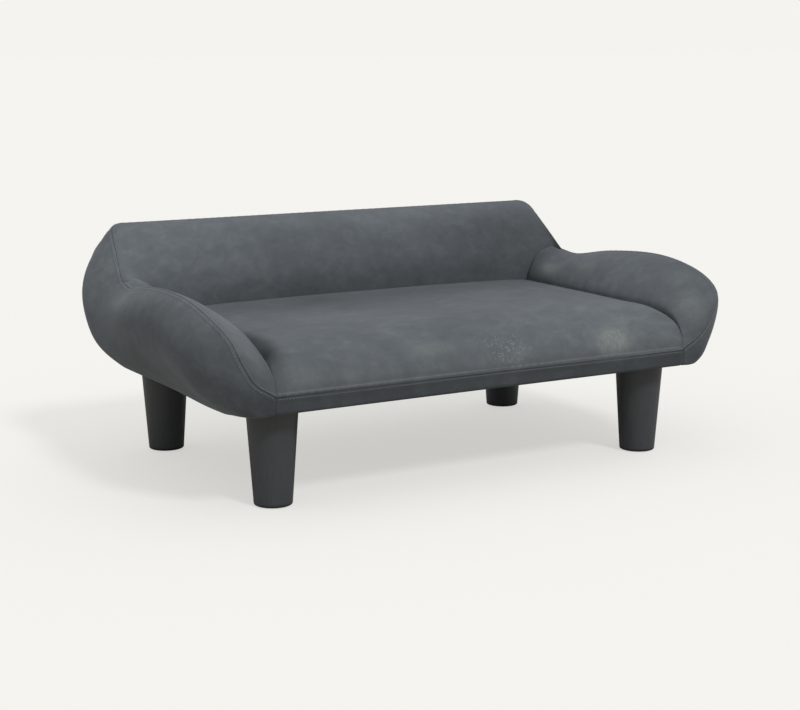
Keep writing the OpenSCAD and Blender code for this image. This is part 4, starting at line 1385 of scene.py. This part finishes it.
# Places where its lower edge hangs lower: station, reach in stations, and how much.
HANGS = [(2.4, 1.6, 1.2), (5.8, 1.2, 3.6)]
# Rows round its lower edge, by distance from the edge.
EDGE_ROWS = np.array([-13, -11, -9, -7, -5.2, -3.6, -2.3, -1.1, 0, 1.1, 2.3, 3.6, 5.2, 7, 9])


@dataclass
class OuterPanel:
    """The cover from the seam down the outside, rounded under the lower edge and turned in.

    It runs from one station to another and is as dark as its tone, a factor on the suede's; the front band's
    tone under 1 is painted shade.
    """

    first: float
    last: float
    tone: float = 1.0
    form: Form = FORM
    pitch: float = 4.0
    step: float = 5.0
    thickness: float = 1.2
    edge: float = 8.4
    edge_reach: float = 16.0
    even_to: float = 15.0
    under_rows: int = 24
    samples: int = 9
    hang: float = 2.4
    hang_reach: float = 20.0
    fullness: float = 0.6
    seed: int = 21
    flat: float = 5.0
    flat_fade: float = 30.0
    ironed_rows: float = 4.5
    ironed_from: float = 50.0
    ironed_to: float = 60.0
    end_round: float = 1.6
    relief: SeamRelief = SeamRelief()

    def grid(self) -> Fabric:
        """Rows down the outer curve at each station, then under the lower edge to the flange.

        The lower edge is rounded by averaging the path over a window that widens towards it.

        Returns:
            The fabric of the right half.
        """
        f = self.form
        s = f.stations(self.first, self.last, self.pitch)
        curve = bezier(f.outer_curve(s), DENSE[::-1])
        under = f.flange(s) - curve[:, -1]
        tail = curve[:, -1:] + under[:, None] * np.linspace(0, 1, self.under_rows)[None, 1:, None]
        total = run_along(curve)[:, -1:]
        d = np.concatenate([spread(total[:, 0] - self.even_to, self.step), total + EDGE_ROWS], axis=1)
        window = self.edge * np.clip(1 - np.abs(d - total) / self.edge_reach, 0, 1)
        path = np.concatenate([curve, tail], axis=1)
        g = np.mean([resample(path, d + o * window) for o in np.linspace(-1, 1, self.samples)], axis=0)
        drop = self.hang + sum(amount * bump_at(s, station, reach) for station, reach, amount in HANGS)
        g[..., 2] -= drop[:, None] * bump_at(d, total, self.hang_reach)
        if self.first > 0:
            inner = ease(d / self.ironed_from) * ease((total - d) / self.ironed_to)
            g = ironed(g, inner, self.ironed_rows)
        normals = -grid_normals(g)
        for station, reach, above, height, amount in CHEEKS:
            cheek = amount * bump_at(s, station, reach)[:, None] * bump_at(d, total - above, height)
            g = g + normals * cheek[..., None]
        run = run_along(f.rim(s))
        loose = ease((total - d - self.flat) / self.flat_fade)
        g = g + swell(g, normals, self.fullness, self.seed) * loose[..., None]
        g = self.relief.shape(g, d, run, f.seam_normal(s), normals)
        end = 0.5 * round_end(run if self.first > 0 else run[-1] - run, self.end_round)
        return Fabric(g - normals * end[:, None, None], d)

    def build(self, name: str) -> tuple[bpy.types.Object, Fabric]:
        """The panel's mesh, on both sides of the middle, with a wall of the fabric's thickness.

        Args:
            name: the piece's name.

        Returns:
            The object and the whole grid.
        """
        fabric = self.grid().whole(middle_first=self.first == 0)
        nap = pile_and_shading(fabric.points) * seam_shading(fabric.distance) * self.tone
        # Painted shade at the panel's lower front corners and at its left front vertical seam.
        if self.first > 0:
            nap = toned(nap, fabric.points, CORNER_SHADE)
        faces = grid_faces(*nap.shape, flip=True)
        piece = make_object(name, fabric.points.reshape(-1, 3), faces, nap.reshape(-1))
        wall = piece.modifiers.new("fabric", "SOLIDIFY")
        wall.thickness = self.thickness * MM
        wall.offset = -1.0
        return piece, fabric


@dataclass
class RimPad:
    """What the arms and the back rest share: fabric from the seam to the seat over a stuffed
    solid, which is closed inside round the frame."""

    form: Form = FORM
    pitch: float = 3.8
    step: float = 4.2
    inset: float = 3.2
    clearance: float = 0.6
    fullness: float = 1.3
    seed: int = 41
    run_from: float = 550.0
    inside_low: float = 0.04
    inside_high: float = 0.97
    inside_rows: int = 26
    shelf_half: float = math.inf
    relief: SeamRelief = SeamRelief(lip=0.45, furrow=0.15, seed=7)

    def cover(self, s: np.ndarray, curve: np.ndarray) -> tuple[np.ndarray, np.ndarray, np.ndarray]:
        """Fabric down a curve at each station, settled, unevenly stuffed and sewn at the rim.

        Args:
            s: stations, shape (n,).
            curve: handles of the curve at each station, shape (n, 4, 3).

        Returns:
            The grid, each point's distance from the seam, and the normals under it.
        """
        path = bezier(curve, DENSE)
        d = spread(run_along(path)[:, -1], self.step)
        g = resample(path, d)
        normals = grid_normals(g)
        loose = ease(d / HELD) * ease((d[:, -1:] - d) / HELD)
        g = g + CLOTH.settle(g) + swell(g, normals, self.fullness, self.seed) * loose[..., None]
        run = run_along(self.form.rim(s)) + self.run_from
        return self.relief.shape(g, d, run, self.form.seam_normal(s), normals), d, normals

    def rings(self, s: np.ndarray, cover: np.ndarray) -> np.ndarray:
        """Closed rings: the cover, a wall down from its foot, a shelf over the frame, and up
        inside the outer panel.

        Args:
            s: stations, shape (n,).
            cover: the fabric's grid, shape (n, k, 3).

        Returns:
            Rings, shape (n, m, 3).
        """
        f = self.form
        foot = cover[:, -1:]
        level = f.deck_top + self.clearance
        down = np.array([[0, 0, -0.15], [0, 0, -0.4], [0, 0, -0.7], [0, 0, -1.0]])
        wall = foot + down * np.maximum(foot[..., 2:] - level, 0.5)
        outer = bezier(f.outer_curve(s), np.linspace(self.inside_low, self.inside_high, self.inside_rows))
        inside = outer - grid_normals(outer) * self.inset
        inside[..., 2] = np.maximum(inside[..., 2], f.frame_z)
        shelf = inside[:, :1].copy()
        shelf[..., 0] = np.minimum(self.shelf_half, shelf[..., 0])
        shelf[..., 2] = level
        return np.concatenate([cover, wall, shelf, inside], axis=1)

    @staticmethod
    def solid(name: str, rings: np.ndarray, fabric: Fabric) -> bpy.types.Object:
        """The pad's mesh from its rings, which start with the fabric's points."""
        points, faces = closed_rings(rings)
        return make_object(name, points, faces, fabric.nap(points, len(rings)), tidy=True)


@dataclass
class ArmPad(RimPad):
    """Stuffed arm: the roll from the seam over to the seat, closed underneath round the frame."""

    pitch: float = 3.6
    fullness: float = 0.9
    seed: int = 31
    run_from: float = 0.0
    inside_rows: int = 22
    shelf_half: float = FORM.frame_half + 1
    relief: SeamRelief = SeamRelief(lip=0.45, furrow=0.15, seed=3)
    slim: float = 6.5
    slim_at: float = 5.6
    slim_wide: float = 1.2
    end_round: float = 6.0
    end_at: float = 8.8
    end_run: float = 1.1
    end_from: float = 6.0
    end_rise: float = 16.0
    end_to: float = 44.0
    end_fall: float = 50.0
    end_move: tuple[float, float, float] = (0.0, 11.0, 9.0)

    def build(self, name: str, side: Side) -> tuple[bpy.types.Object, Fabric]:
        """The pad's mesh on one side, and its fabric on the right side.

        The roll's rear end is drawn up and back against the back rest, and its inner side is
        slimmer ahead of its middle.

        Args:
            name: the piece's name.
            side: which arm.

        Returns:
            The object and the right arm's fabric.
        """
        s = self.form.stations(1.015, 9.995, self.pitch)
        g, d, normals = self.cover(s, self.form.roll_curve(s))
        run = run_along(self.form.rim(s))
        g = g - normals * round_end(run[-1] - run, self.end_round)[:, None, None]
        end = ease((s - self.end_at) / self.end_run)[:, None] * ease((d - self.end_from) / self.end_rise)
        end = end * (1 - ease((d - self.end_to) / self.end_fall))
        g = g + end[..., None] * np.array(self.end_move)
        g[..., 0] += self.slim * bump_at(s, self.slim_at, self.slim_wide)[:, None] * ease(2 * d / d[:, -1:])
        fabric = Fabric(g, d)
        rings = self.rings(s, g)
        return self.solid(name, mirrored(rings) if side is Side.LEFT else rings, fabric), fabric


@dataclass
class BackPad(RimPad):
    """Stuffed back rest: its front face from the top seam down behind the seat and the arms."""

    def build(self, name: str) -> tuple[bpy.types.Object, Fabric]:
        """The pad's mesh and its whole fabric grid.

        Args:
            name: the piece's name.

        Returns:
            The object and its fabric.
        """
        s = self.form.stations(10.005, 15.0, self.pitch)
        g, d, _ = self.cover(s, self.form.back_curve(s))
        fabric = Fabric(g, d).whole()
        return self.solid(name, both_sides(self.rings(s, g)), fabric), fabric


@dataclass
class SeatPad:
    """Stuffed seat: up from the front seam over a rounded shoulder and level to the back rest.

    Beside each arm it dips into a pocket, which starts behind the shoulder and is shallower
    towards the rear.
    """

    form: Form = FORM
    pitch: float = 4.0
    gap: float = 0.9
    gap_least: float = 0.15
    gap_start: float = 20.0
    gap_run: float = 60.0
    clearance: float = 0.6
    fullness: float = 1.1
    run_from: float = 900.0
    pocket_left: float = 32.0
    pocket_right: float = 9.0
    pocket_start: float = 42.0
    pocket_run: float = 45.0
    pocket_deep: float = 0.8
    sewn: float = 6.0
    sewn_fade: float = 30.0
    shallow: float = 0.6
    shallow_run: float = 150.0
    rear_round: float = 5.0
    crevice_shade: float = 0.16
    crevice_shade_wide: float = 3.5
    edge_rows: tuple[float, ...] = (0.992, 0.996, 0.9985)
    relief: SeamRelief = SeamRelief(lip=0.45, furrow=0.15, seed=9)

    def grid(self) -> tuple[Fabric, np.ndarray]:
        """The seat's fabric, rows from left to right and points from the front seam to the back,
        and each point's distance from the arm beside it.

        Returns:
            The fabric and those distances.
        """
        f = self.form
        theta = np.linspace(0, np.pi / 2, 400)
        y = f.front_y + f.shoulder_run * (1 - np.cos(theta) ** (2 / f.shoulder_power))
        y = np.concatenate([y, np.linspace(y[-1], f.back_y - self.gap, 200)[1:]])
        profile = np.stack([0 * y, y, f.seat_height(y)], axis=1)[None]
        d = spread(run_along(profile)[:, -1], self.pitch)
        yk = resample(profile, d)[0, :, 1]
        edges = np.array(self.edge_rows)
        u = np.linspace(-1, 1, int(2 * f.seat_half / self.pitch))
        u = np.sort(np.concatenate([u, -edges, edges]))[:, None]
        h = f.seat_height(yk)
        bow = f.seat_crown * (1 - u**2) - f.seat_edge_drop * np.abs(u) ** f.edge_power
        z = f.seam_z + h + h / f.seat_rise * bow
        opened = ease((d - self.gap_start) / self.gap_run)
        half = f.seat_edge(yk) - self.gap * (self.gap_least + (1 - self.gap_least) * opened)
        g = np.stack([u * half, np.broadcast_to(yk, z.shape), z], axis=-1)
        normals = grid_normals(g)
        d = np.repeat(d, len(u), axis=0)
        rest = half * (1 - np.abs(u))
        rear = d[0, -1] - d
        loose = ease(d / HELD) * ease(rest / HELD) * ease(rear / HELD)
        g = g + CLOTH.settle(g) + swell(g, normals, self.fullness, 51) * loose[..., None]
        seam = np.tile(f.seam_normal(np.array([0.2, 0.5, 0.8]))[1], (len(u), 1))
        g = self.relief.shape(g, d, g[:, 0, 0] + self.run_from, seam, normals)
        pocket = np.where(u < 0, self.pocket_left, self.pocket_right)
        far = self.shallow * ease((d - self.shallow_run) / self.shallow_run)
        wide = 1.0 + pocket * ease((d - self.pocket_start) / self.pocket_run) * (1 - far)
        g[..., 2] -= (round_end(rest / wide, 1.0) * self.pocket_deep * wide
                      * ease((d - self.sewn) / self.sewn_fade))
        g[..., 2] -= round_end(rear, self.rear_round)
        return Fabric(g, d), rest

    def build(self, name: str) -> tuple[bpy.types.Object, Fabric]:
        """The pad's mesh, closed down to the deck, and its fabric.

        Args:
            name: the piece's name.

        Returns:
            The object and its fabric.
        """
        fabric, rest = self.grid()
        top = fabric.points.transpose(1, 0, 2)
        low = np.minimum(self.form.deck_top + self.clearance, top[:, :, 2].min(axis=1) - 0.8)
        sides = []
        for k in (0, -1):
            column = np.repeat(top[:, k][:, None], 4, axis=1)
            share = np.array([0.25, 0.5, 0.75, 1.0])
            column[..., 2] = column[..., 2] * (1 - share) + low[:, None] * share
            sides.append(column)
        rings = np.concatenate([top, sides[1], sides[0][:, ::-1]], axis=1)
        points, faces = closed_rings(rings)
        nap = pile_and_shading(points)
        shown = nap[:-2].reshape(len(rings), -1)[:, :len(fabric.points)]
        # Painted shade and highlight beside the front seam, and painted shade in a strip along the seat's
        # sides, in the crease where the arms meet it.
        shown *= (seam_shading(fabric.distance) * (1 - self.crevice_shade * bump_at(rest, 0, self.crevice_shade_wide))).T
        return make_object(name, points, faces, nap, tidy=True), fabric


@dataclass
class SofaBody:
    """The upholstered body: front band, outer panel, seat, arms and back, with their stitching."""

    suede: bpy.types.Material
    light_thread: bpy.types.Material
    dark_thread: bpy.types.Material
    stitching: Stitching = Stitching()
    stitch_line: float = 4.9

    def dress(self, piece: bpy.types.Object, material: bpy.types.Material, *nodes: str,
              fill: float | None = None) -> None:
        """Give a piece its finish and its place in the model.

        Args:
            piece: the piece.
            material: its finish.
            *nodes: CAD nodes that it stands for.
            fill: how tight a padded piece is, or None for one that isn't padded; not used.
        """
        piece.data.materials.append(material)
        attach(piece, "root")
        if nodes:
            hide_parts(*nodes)
        LOG.info("%s: %d points", piece.name, len(piece.data.vertices))

    def build(self) -> None:
        """Make every piece of the body."""
        panel, outer = OuterPanel(1.0, 15.0).build("outer_panel")
        self.dress(panel, self.suede, "outer_cover", fill=0.9)
        # The front band's tone of 0.52 is painted shade: the same suede, drawn darker as the upright band
        # lies in shade.
        band, front = OuterPanel(0.0, 1.0, tone=0.52).build("front_band_panel")
        self.dress(band, self.suede, "front_band", fill=0.9)
        seat, top = SeatPad().build("seat_pad")
        self.dress(seat, self.suede, "seat_cover", "seat_foam", fill=0.85)
        for side in Side:
            word = side.name.lower()
            arm, roll = ArmPad().build(f"{word}_arm_pad", side)
            self.dress(arm, self.suede, f"{word}_arm_cover", f"{word}_arm_foam", fill=0.9)
        back, face = BackPad().build("back_pad")
        self.dress(back, self.suede, "back_cover", "back_foam", fill=0.85)
        for name, fabric, thread, facing in (
                ("outer", outer, self.light_thread, -1.0), ("band", front, self.light_thread, -1.0),
                ("seat", top, self.light_thread, 1.0), ("back", face, self.dark_thread, 1.0)):
            line = fabric.line_at(self.stitch_line, facing)
            self.dress(self.stitching.build(f"{name}_stitches", *line), thread)
        line, normals = roll.line_at(self.stitch_line)
        for side in Side:
            sign = np.array([side.value, 1.0, 1.0])
            stitches = self.stitching.build(f"{side.name.lower()}_arm_stitches", line * sign, normals * sign)
            self.dress(stitches, self.dark_thread)


@dataclass
class DustCloth:
    """Black cloth stapled under the frame, hanging a little between the staples."""

    finish: bpy.types.Material
    half: float = 378.0
    front: float = -260.0
    back: float = 223.0
    front_r: float = 24.0
    back_r: float = 58.0
    z: float = 155.55
    sag: float = 0.3
    ripple: float = 0.2
    ripple_run: float = 30.0
    bolt_x: float = 343.0
    bolt_y: float = 205.0
    hole: float = 8.0
    steps: int = 181
    rings: int = 44

    def build(self) -> bpy.types.Object:
        """Rings from the outline in to the middle, sagging by sag (1 - r^2), open at the bolts.

        Returns:
            The object.
        """
        right = Form.outline(self.half, self.front, self.back, self.front_r, self.back_r,
                             np.linspace(0, 5, self.steps))
        edge = np.concatenate([right, (right * [-1, 1])[-2:0:-1]])
        middle = np.array([0.0, (self.front + self.back) / 2])
        r = np.linspace(1, 0.01, self.rings)
        xy = middle + (edge - middle)[None] * r[:, None, None]
        drop = self.sag * (1 - r**2)[:, None] * (1 + self.ripple * np.cos(xy[..., 0] / self.ripple_run))
        g = np.concatenate([xy, (self.z - drop)[..., None]], axis=2)
        n, m = g.shape[:2]
        points = g.reshape(-1, 3)
        faces = grid_faces(n, m, closed=True)
        centre = points[faces].mean(axis=1)
        away = np.hypot(np.abs(centre[:, 0]) - self.bolt_x, np.abs(centre[:, 1]) - self.bolt_y)
        rows = faces[away > self.hole].tolist() + [list(range((n - 1) * m, n * m))]
        piece = make_object("dust_cloth", points, rows)
        piece.data.materials.append(self.finish)
        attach(piece, "root")
        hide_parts("dust_cover")
        LOG.info("dust_cloth: %d points", len(points))
        return piece


@dataclass
class Leg:
    """A turned, tapered leg with a small bevel under the body and a rounded foot."""

    paint: bpy.types.Material
    height: float = 155.0
    top_r: float = 40.0
    foot_r: float = 29.4
    edge_r: float = 3.0
    bottom: float = 1.0
    bevel: float = 0.8
    washer_r: float = 12.1
    washer_deep: float = 1.6
    bolt_r: float = 4.05
    bolt_deep: float = 35.0
    glide_r: float = 22.1
    glide_top: float = 5.05
    axis_r: float = 0.01
    segments: int = 96

    def profile(self) -> np.ndarray:
        """Radius and height, from the glide's recess round the foot and up to the washer's recess.

        Returns:
            Radius and height of each point, shape (n, 2).
        """
        start = self.bottom + self.edge_r
        a = np.linspace(0, np.pi / 2, 9)
        foot = np.stack([self.foot_r - self.edge_r + self.edge_r * np.sin(a),
                         start - self.edge_r * np.cos(a)], axis=1)
        side_z = np.linspace(start, self.height - self.bevel, 14)[1:]
        slope = (self.top_r - self.foot_r) / (self.height - start)
        side = np.stack([self.foot_r + slope * (side_z - start), side_z], axis=1)
        ledge, end = self.height - self.washer_deep, self.height - self.bolt_deep
        top = [[self.top_r - self.bevel, self.height], [self.washer_r, self.height], [self.washer_r, ledge],
               [self.bolt_r, ledge], [self.bolt_r, end], [self.axis_r, end]]
        recess = [[self.axis_r, self.glide_top], [self.glide_r, self.glide_top], [self.glide_r, self.bottom]]
        return np.concatenate([recess, foot, side, top])

    def build(self, corner: str, x: float, y: float) -> bpy.types.Object:
        """One leg at its place, riding with its bolt and glide.

        Args:
            corner: which corner, as in its body's name.
            x: width of its axis.
            y: depth of its axis.

        Returns:
            The object.
        """
        points, faces = lathe(self.profile(), self.segments)
        piece = make_object(f"{corner}_turned_leg", points + [x, y, 0.0], faces, tidy=True)
        piece.data.materials.append(self.paint)
        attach(piece, f"{corner}_leg")
        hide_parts(f"{corner}_leg")
        LOG.info("%s: %d points", piece.name, len(points))
        return piece


@dataclass
class Studio:
    """Pale floor to the horizon, a soft light from high in front, and the camera."""

    pale: str = "F4F3EF"
    horizon: float = 0.30
    zenith: float = 0.86
    sun: float = 1.2
    sun_width: float = 11.0
    sun_from: tuple[float, float, float] = (0.14, -1.0, 1.0)
    bounce: str = "B9B6AE"
    glow: float = 0.6
    glow_strength: float = 1.05
    eye: tuple[float, float, float] = (-1.40545, -2.38578, 0.68182)
    yaw: float = 0.53149
    pitch: float = 0.18591
    lens: float = 75.34
    sensor: float = 36.0
    far: float = 200.0
    floor_reach: float = 60000.0

    def build(self) -> None:
        """Floor, world, sun and camera."""
        self.floor()
        self.world()
        lamp = bpy.data.lights.new("window_light", "SUN")
        lamp.energy = self.sun
        lamp.angle = math.radians(self.sun_width)
        sun = bpy.data.objects.new("window_light", lamp)
        x, y, z = np.asarray(self.sun_from) / np.linalg.norm(self.sun_from)
        sun.rotation_euler = (0.0, math.acos(z), math.atan2(y, x))
        bpy.context.collection.objects.link(sun)
        lens = bpy.data.cameras.new("camera")
        lens.lens, lens.sensor_width, lens.clip_end = self.lens, self.sensor, self.far
        camera = bpy.data.objects.new("camera", lens)
        camera.location = self.eye
        camera.rotation_euler = (math.pi / 2 - self.pitch, 0.0, -self.yaw)
        bpy.context.collection.objects.link(camera)
        bpy.context.scene.camera = camera

    def floor(self) -> None:
        """A smooth pale floor. The camera sees it partly by its own light, so that its shadows
        stay pale, and the sofa sees a greyer one, as on a studio table."""
        corners = np.array([[-1, -1, 0], [1, -1, 0], [1, 1, 0], [-1, 1, 0]]) * self.floor_reach
        plane = make_object("floor", corners, [[0, 1, 2, 3]])
        material = bpy.data.materials.new("pale_floor")
        tree = empty_tree(material)
        seen = (node(tree, "LightPath"), "Is Camera Ray")
        tint = blend(tree, seen, srgb(self.bounce), srgb(self.pale), "RGBA")
        diffuse = node(tree, "BsdfDiffuse", {"Color": tint})
        glow = node(tree, "Emission", {"Color": srgb(self.pale), "Strength": self.glow_strength})
        mixed = node(tree, "MixShader", {0: times(tree, seen, self.glow), 1: (diffuse, "BSDF"),
                                         2: (glow, "Emission")})
        node(tree, "OutputMaterial", {"Surface": (mixed, "Shader")})
        plane.data.materials.append(material)

    def world(self) -> None:
        """Soft light, brightest overhead; the camera sees the backdrop's colour instead."""
        world = bpy.data.worlds.new("studio")
        bpy.context.scene.world = world
        tree = empty_tree(world)
        way = node(tree, "SeparateXYZ", {0: (node(tree, "TexCoord"), "Generated")})
        rise = mapped(tree, (way, "Z"), self.horizon, self.zenith)
        fill = node(tree, "Background", {"Color": (1.0, 1.0, 1.0, 1.0), "Strength": rise})
        backdrop = node(tree, "Background", {"Color": srgb(self.pale), "Strength": 1.0})
        mixed = node(tree, "MixShader", {0: (node(tree, "LightPath"), "Is Camera Ray"),
                                         1: (fill, "Background"), 2: (backdrop, "Background")})
        node(tree, "OutputWorld", {"Surface": (mixed, "Shader")})


LEG_PLACES = {"front_left": (-343, -205), "front_right": (343, -205),
              "back_left": (-343, 205), "back_right": (343, 205)}


def dress_frame() -> None:
    """Give every CAD node that stays its own finish."""
    steel = [f"{corner}_bolt" for corner in LEG_PLACES]
    steel += ["rail_screws", "tee_nuts", "deck_screws", "arm_panel_screws", "back_brackets",
              "bracket_screws", "staples"]
    wearers = [
        (Grain("planed_pine_along"), ["front_rail", "rear_rail", "corner_blocks"]),
        (Grain("planed_pine_across", axis=1), ["left_rail", "right_rail", "cross_rails"]),
        (Grain("sanded_poplar_plywood", 0, 0.009, "E0C79B", "C6A572", layers=0.003),
         ["deck_panel", "left_arm_panel", "right_arm_panel", "back_panel"]),
        (Grain("fluted_beech_dowel", 0, 0.002, "D2A878", "B98A58"), ["dowels"]),
        (ZincSteel(), steel),
        (Nylon(), [f"{corner}_{part}" for corner in LEG_PLACES for part in ("washer", "glide")]),
    ]
    for finish, names in wearers:
        material = finish.build()
        for name in names:
            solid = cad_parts[name]
            if not solid.material_slots:
                solid.data.materials.append(material)
            for slot in solid.material_slots:
                slot.material = material


def main() -> None:
    """Build the sofa round its frame, then the studio."""
    logging.basicConfig(level=logging.INFO, format="%(message)s")
    bpy.context.scene.view_settings.view_transform = "Standard"
    Studio().build()
    suede = Suede().build()
    SofaBody(suede, Thread("grey_bonded_thread", "858C92").build(),
             Thread("charcoal_bonded_thread", "4A4E52").build()).build()
    DustCloth(DustClothFinish().build()).build()
    leg = Leg(LegPaint().build())
    for corner, (x, y) in LEG_PLACES.items():
        leg.build(corner, x, y)
    dress_frame()


if __name__ == "__main__":
    main()
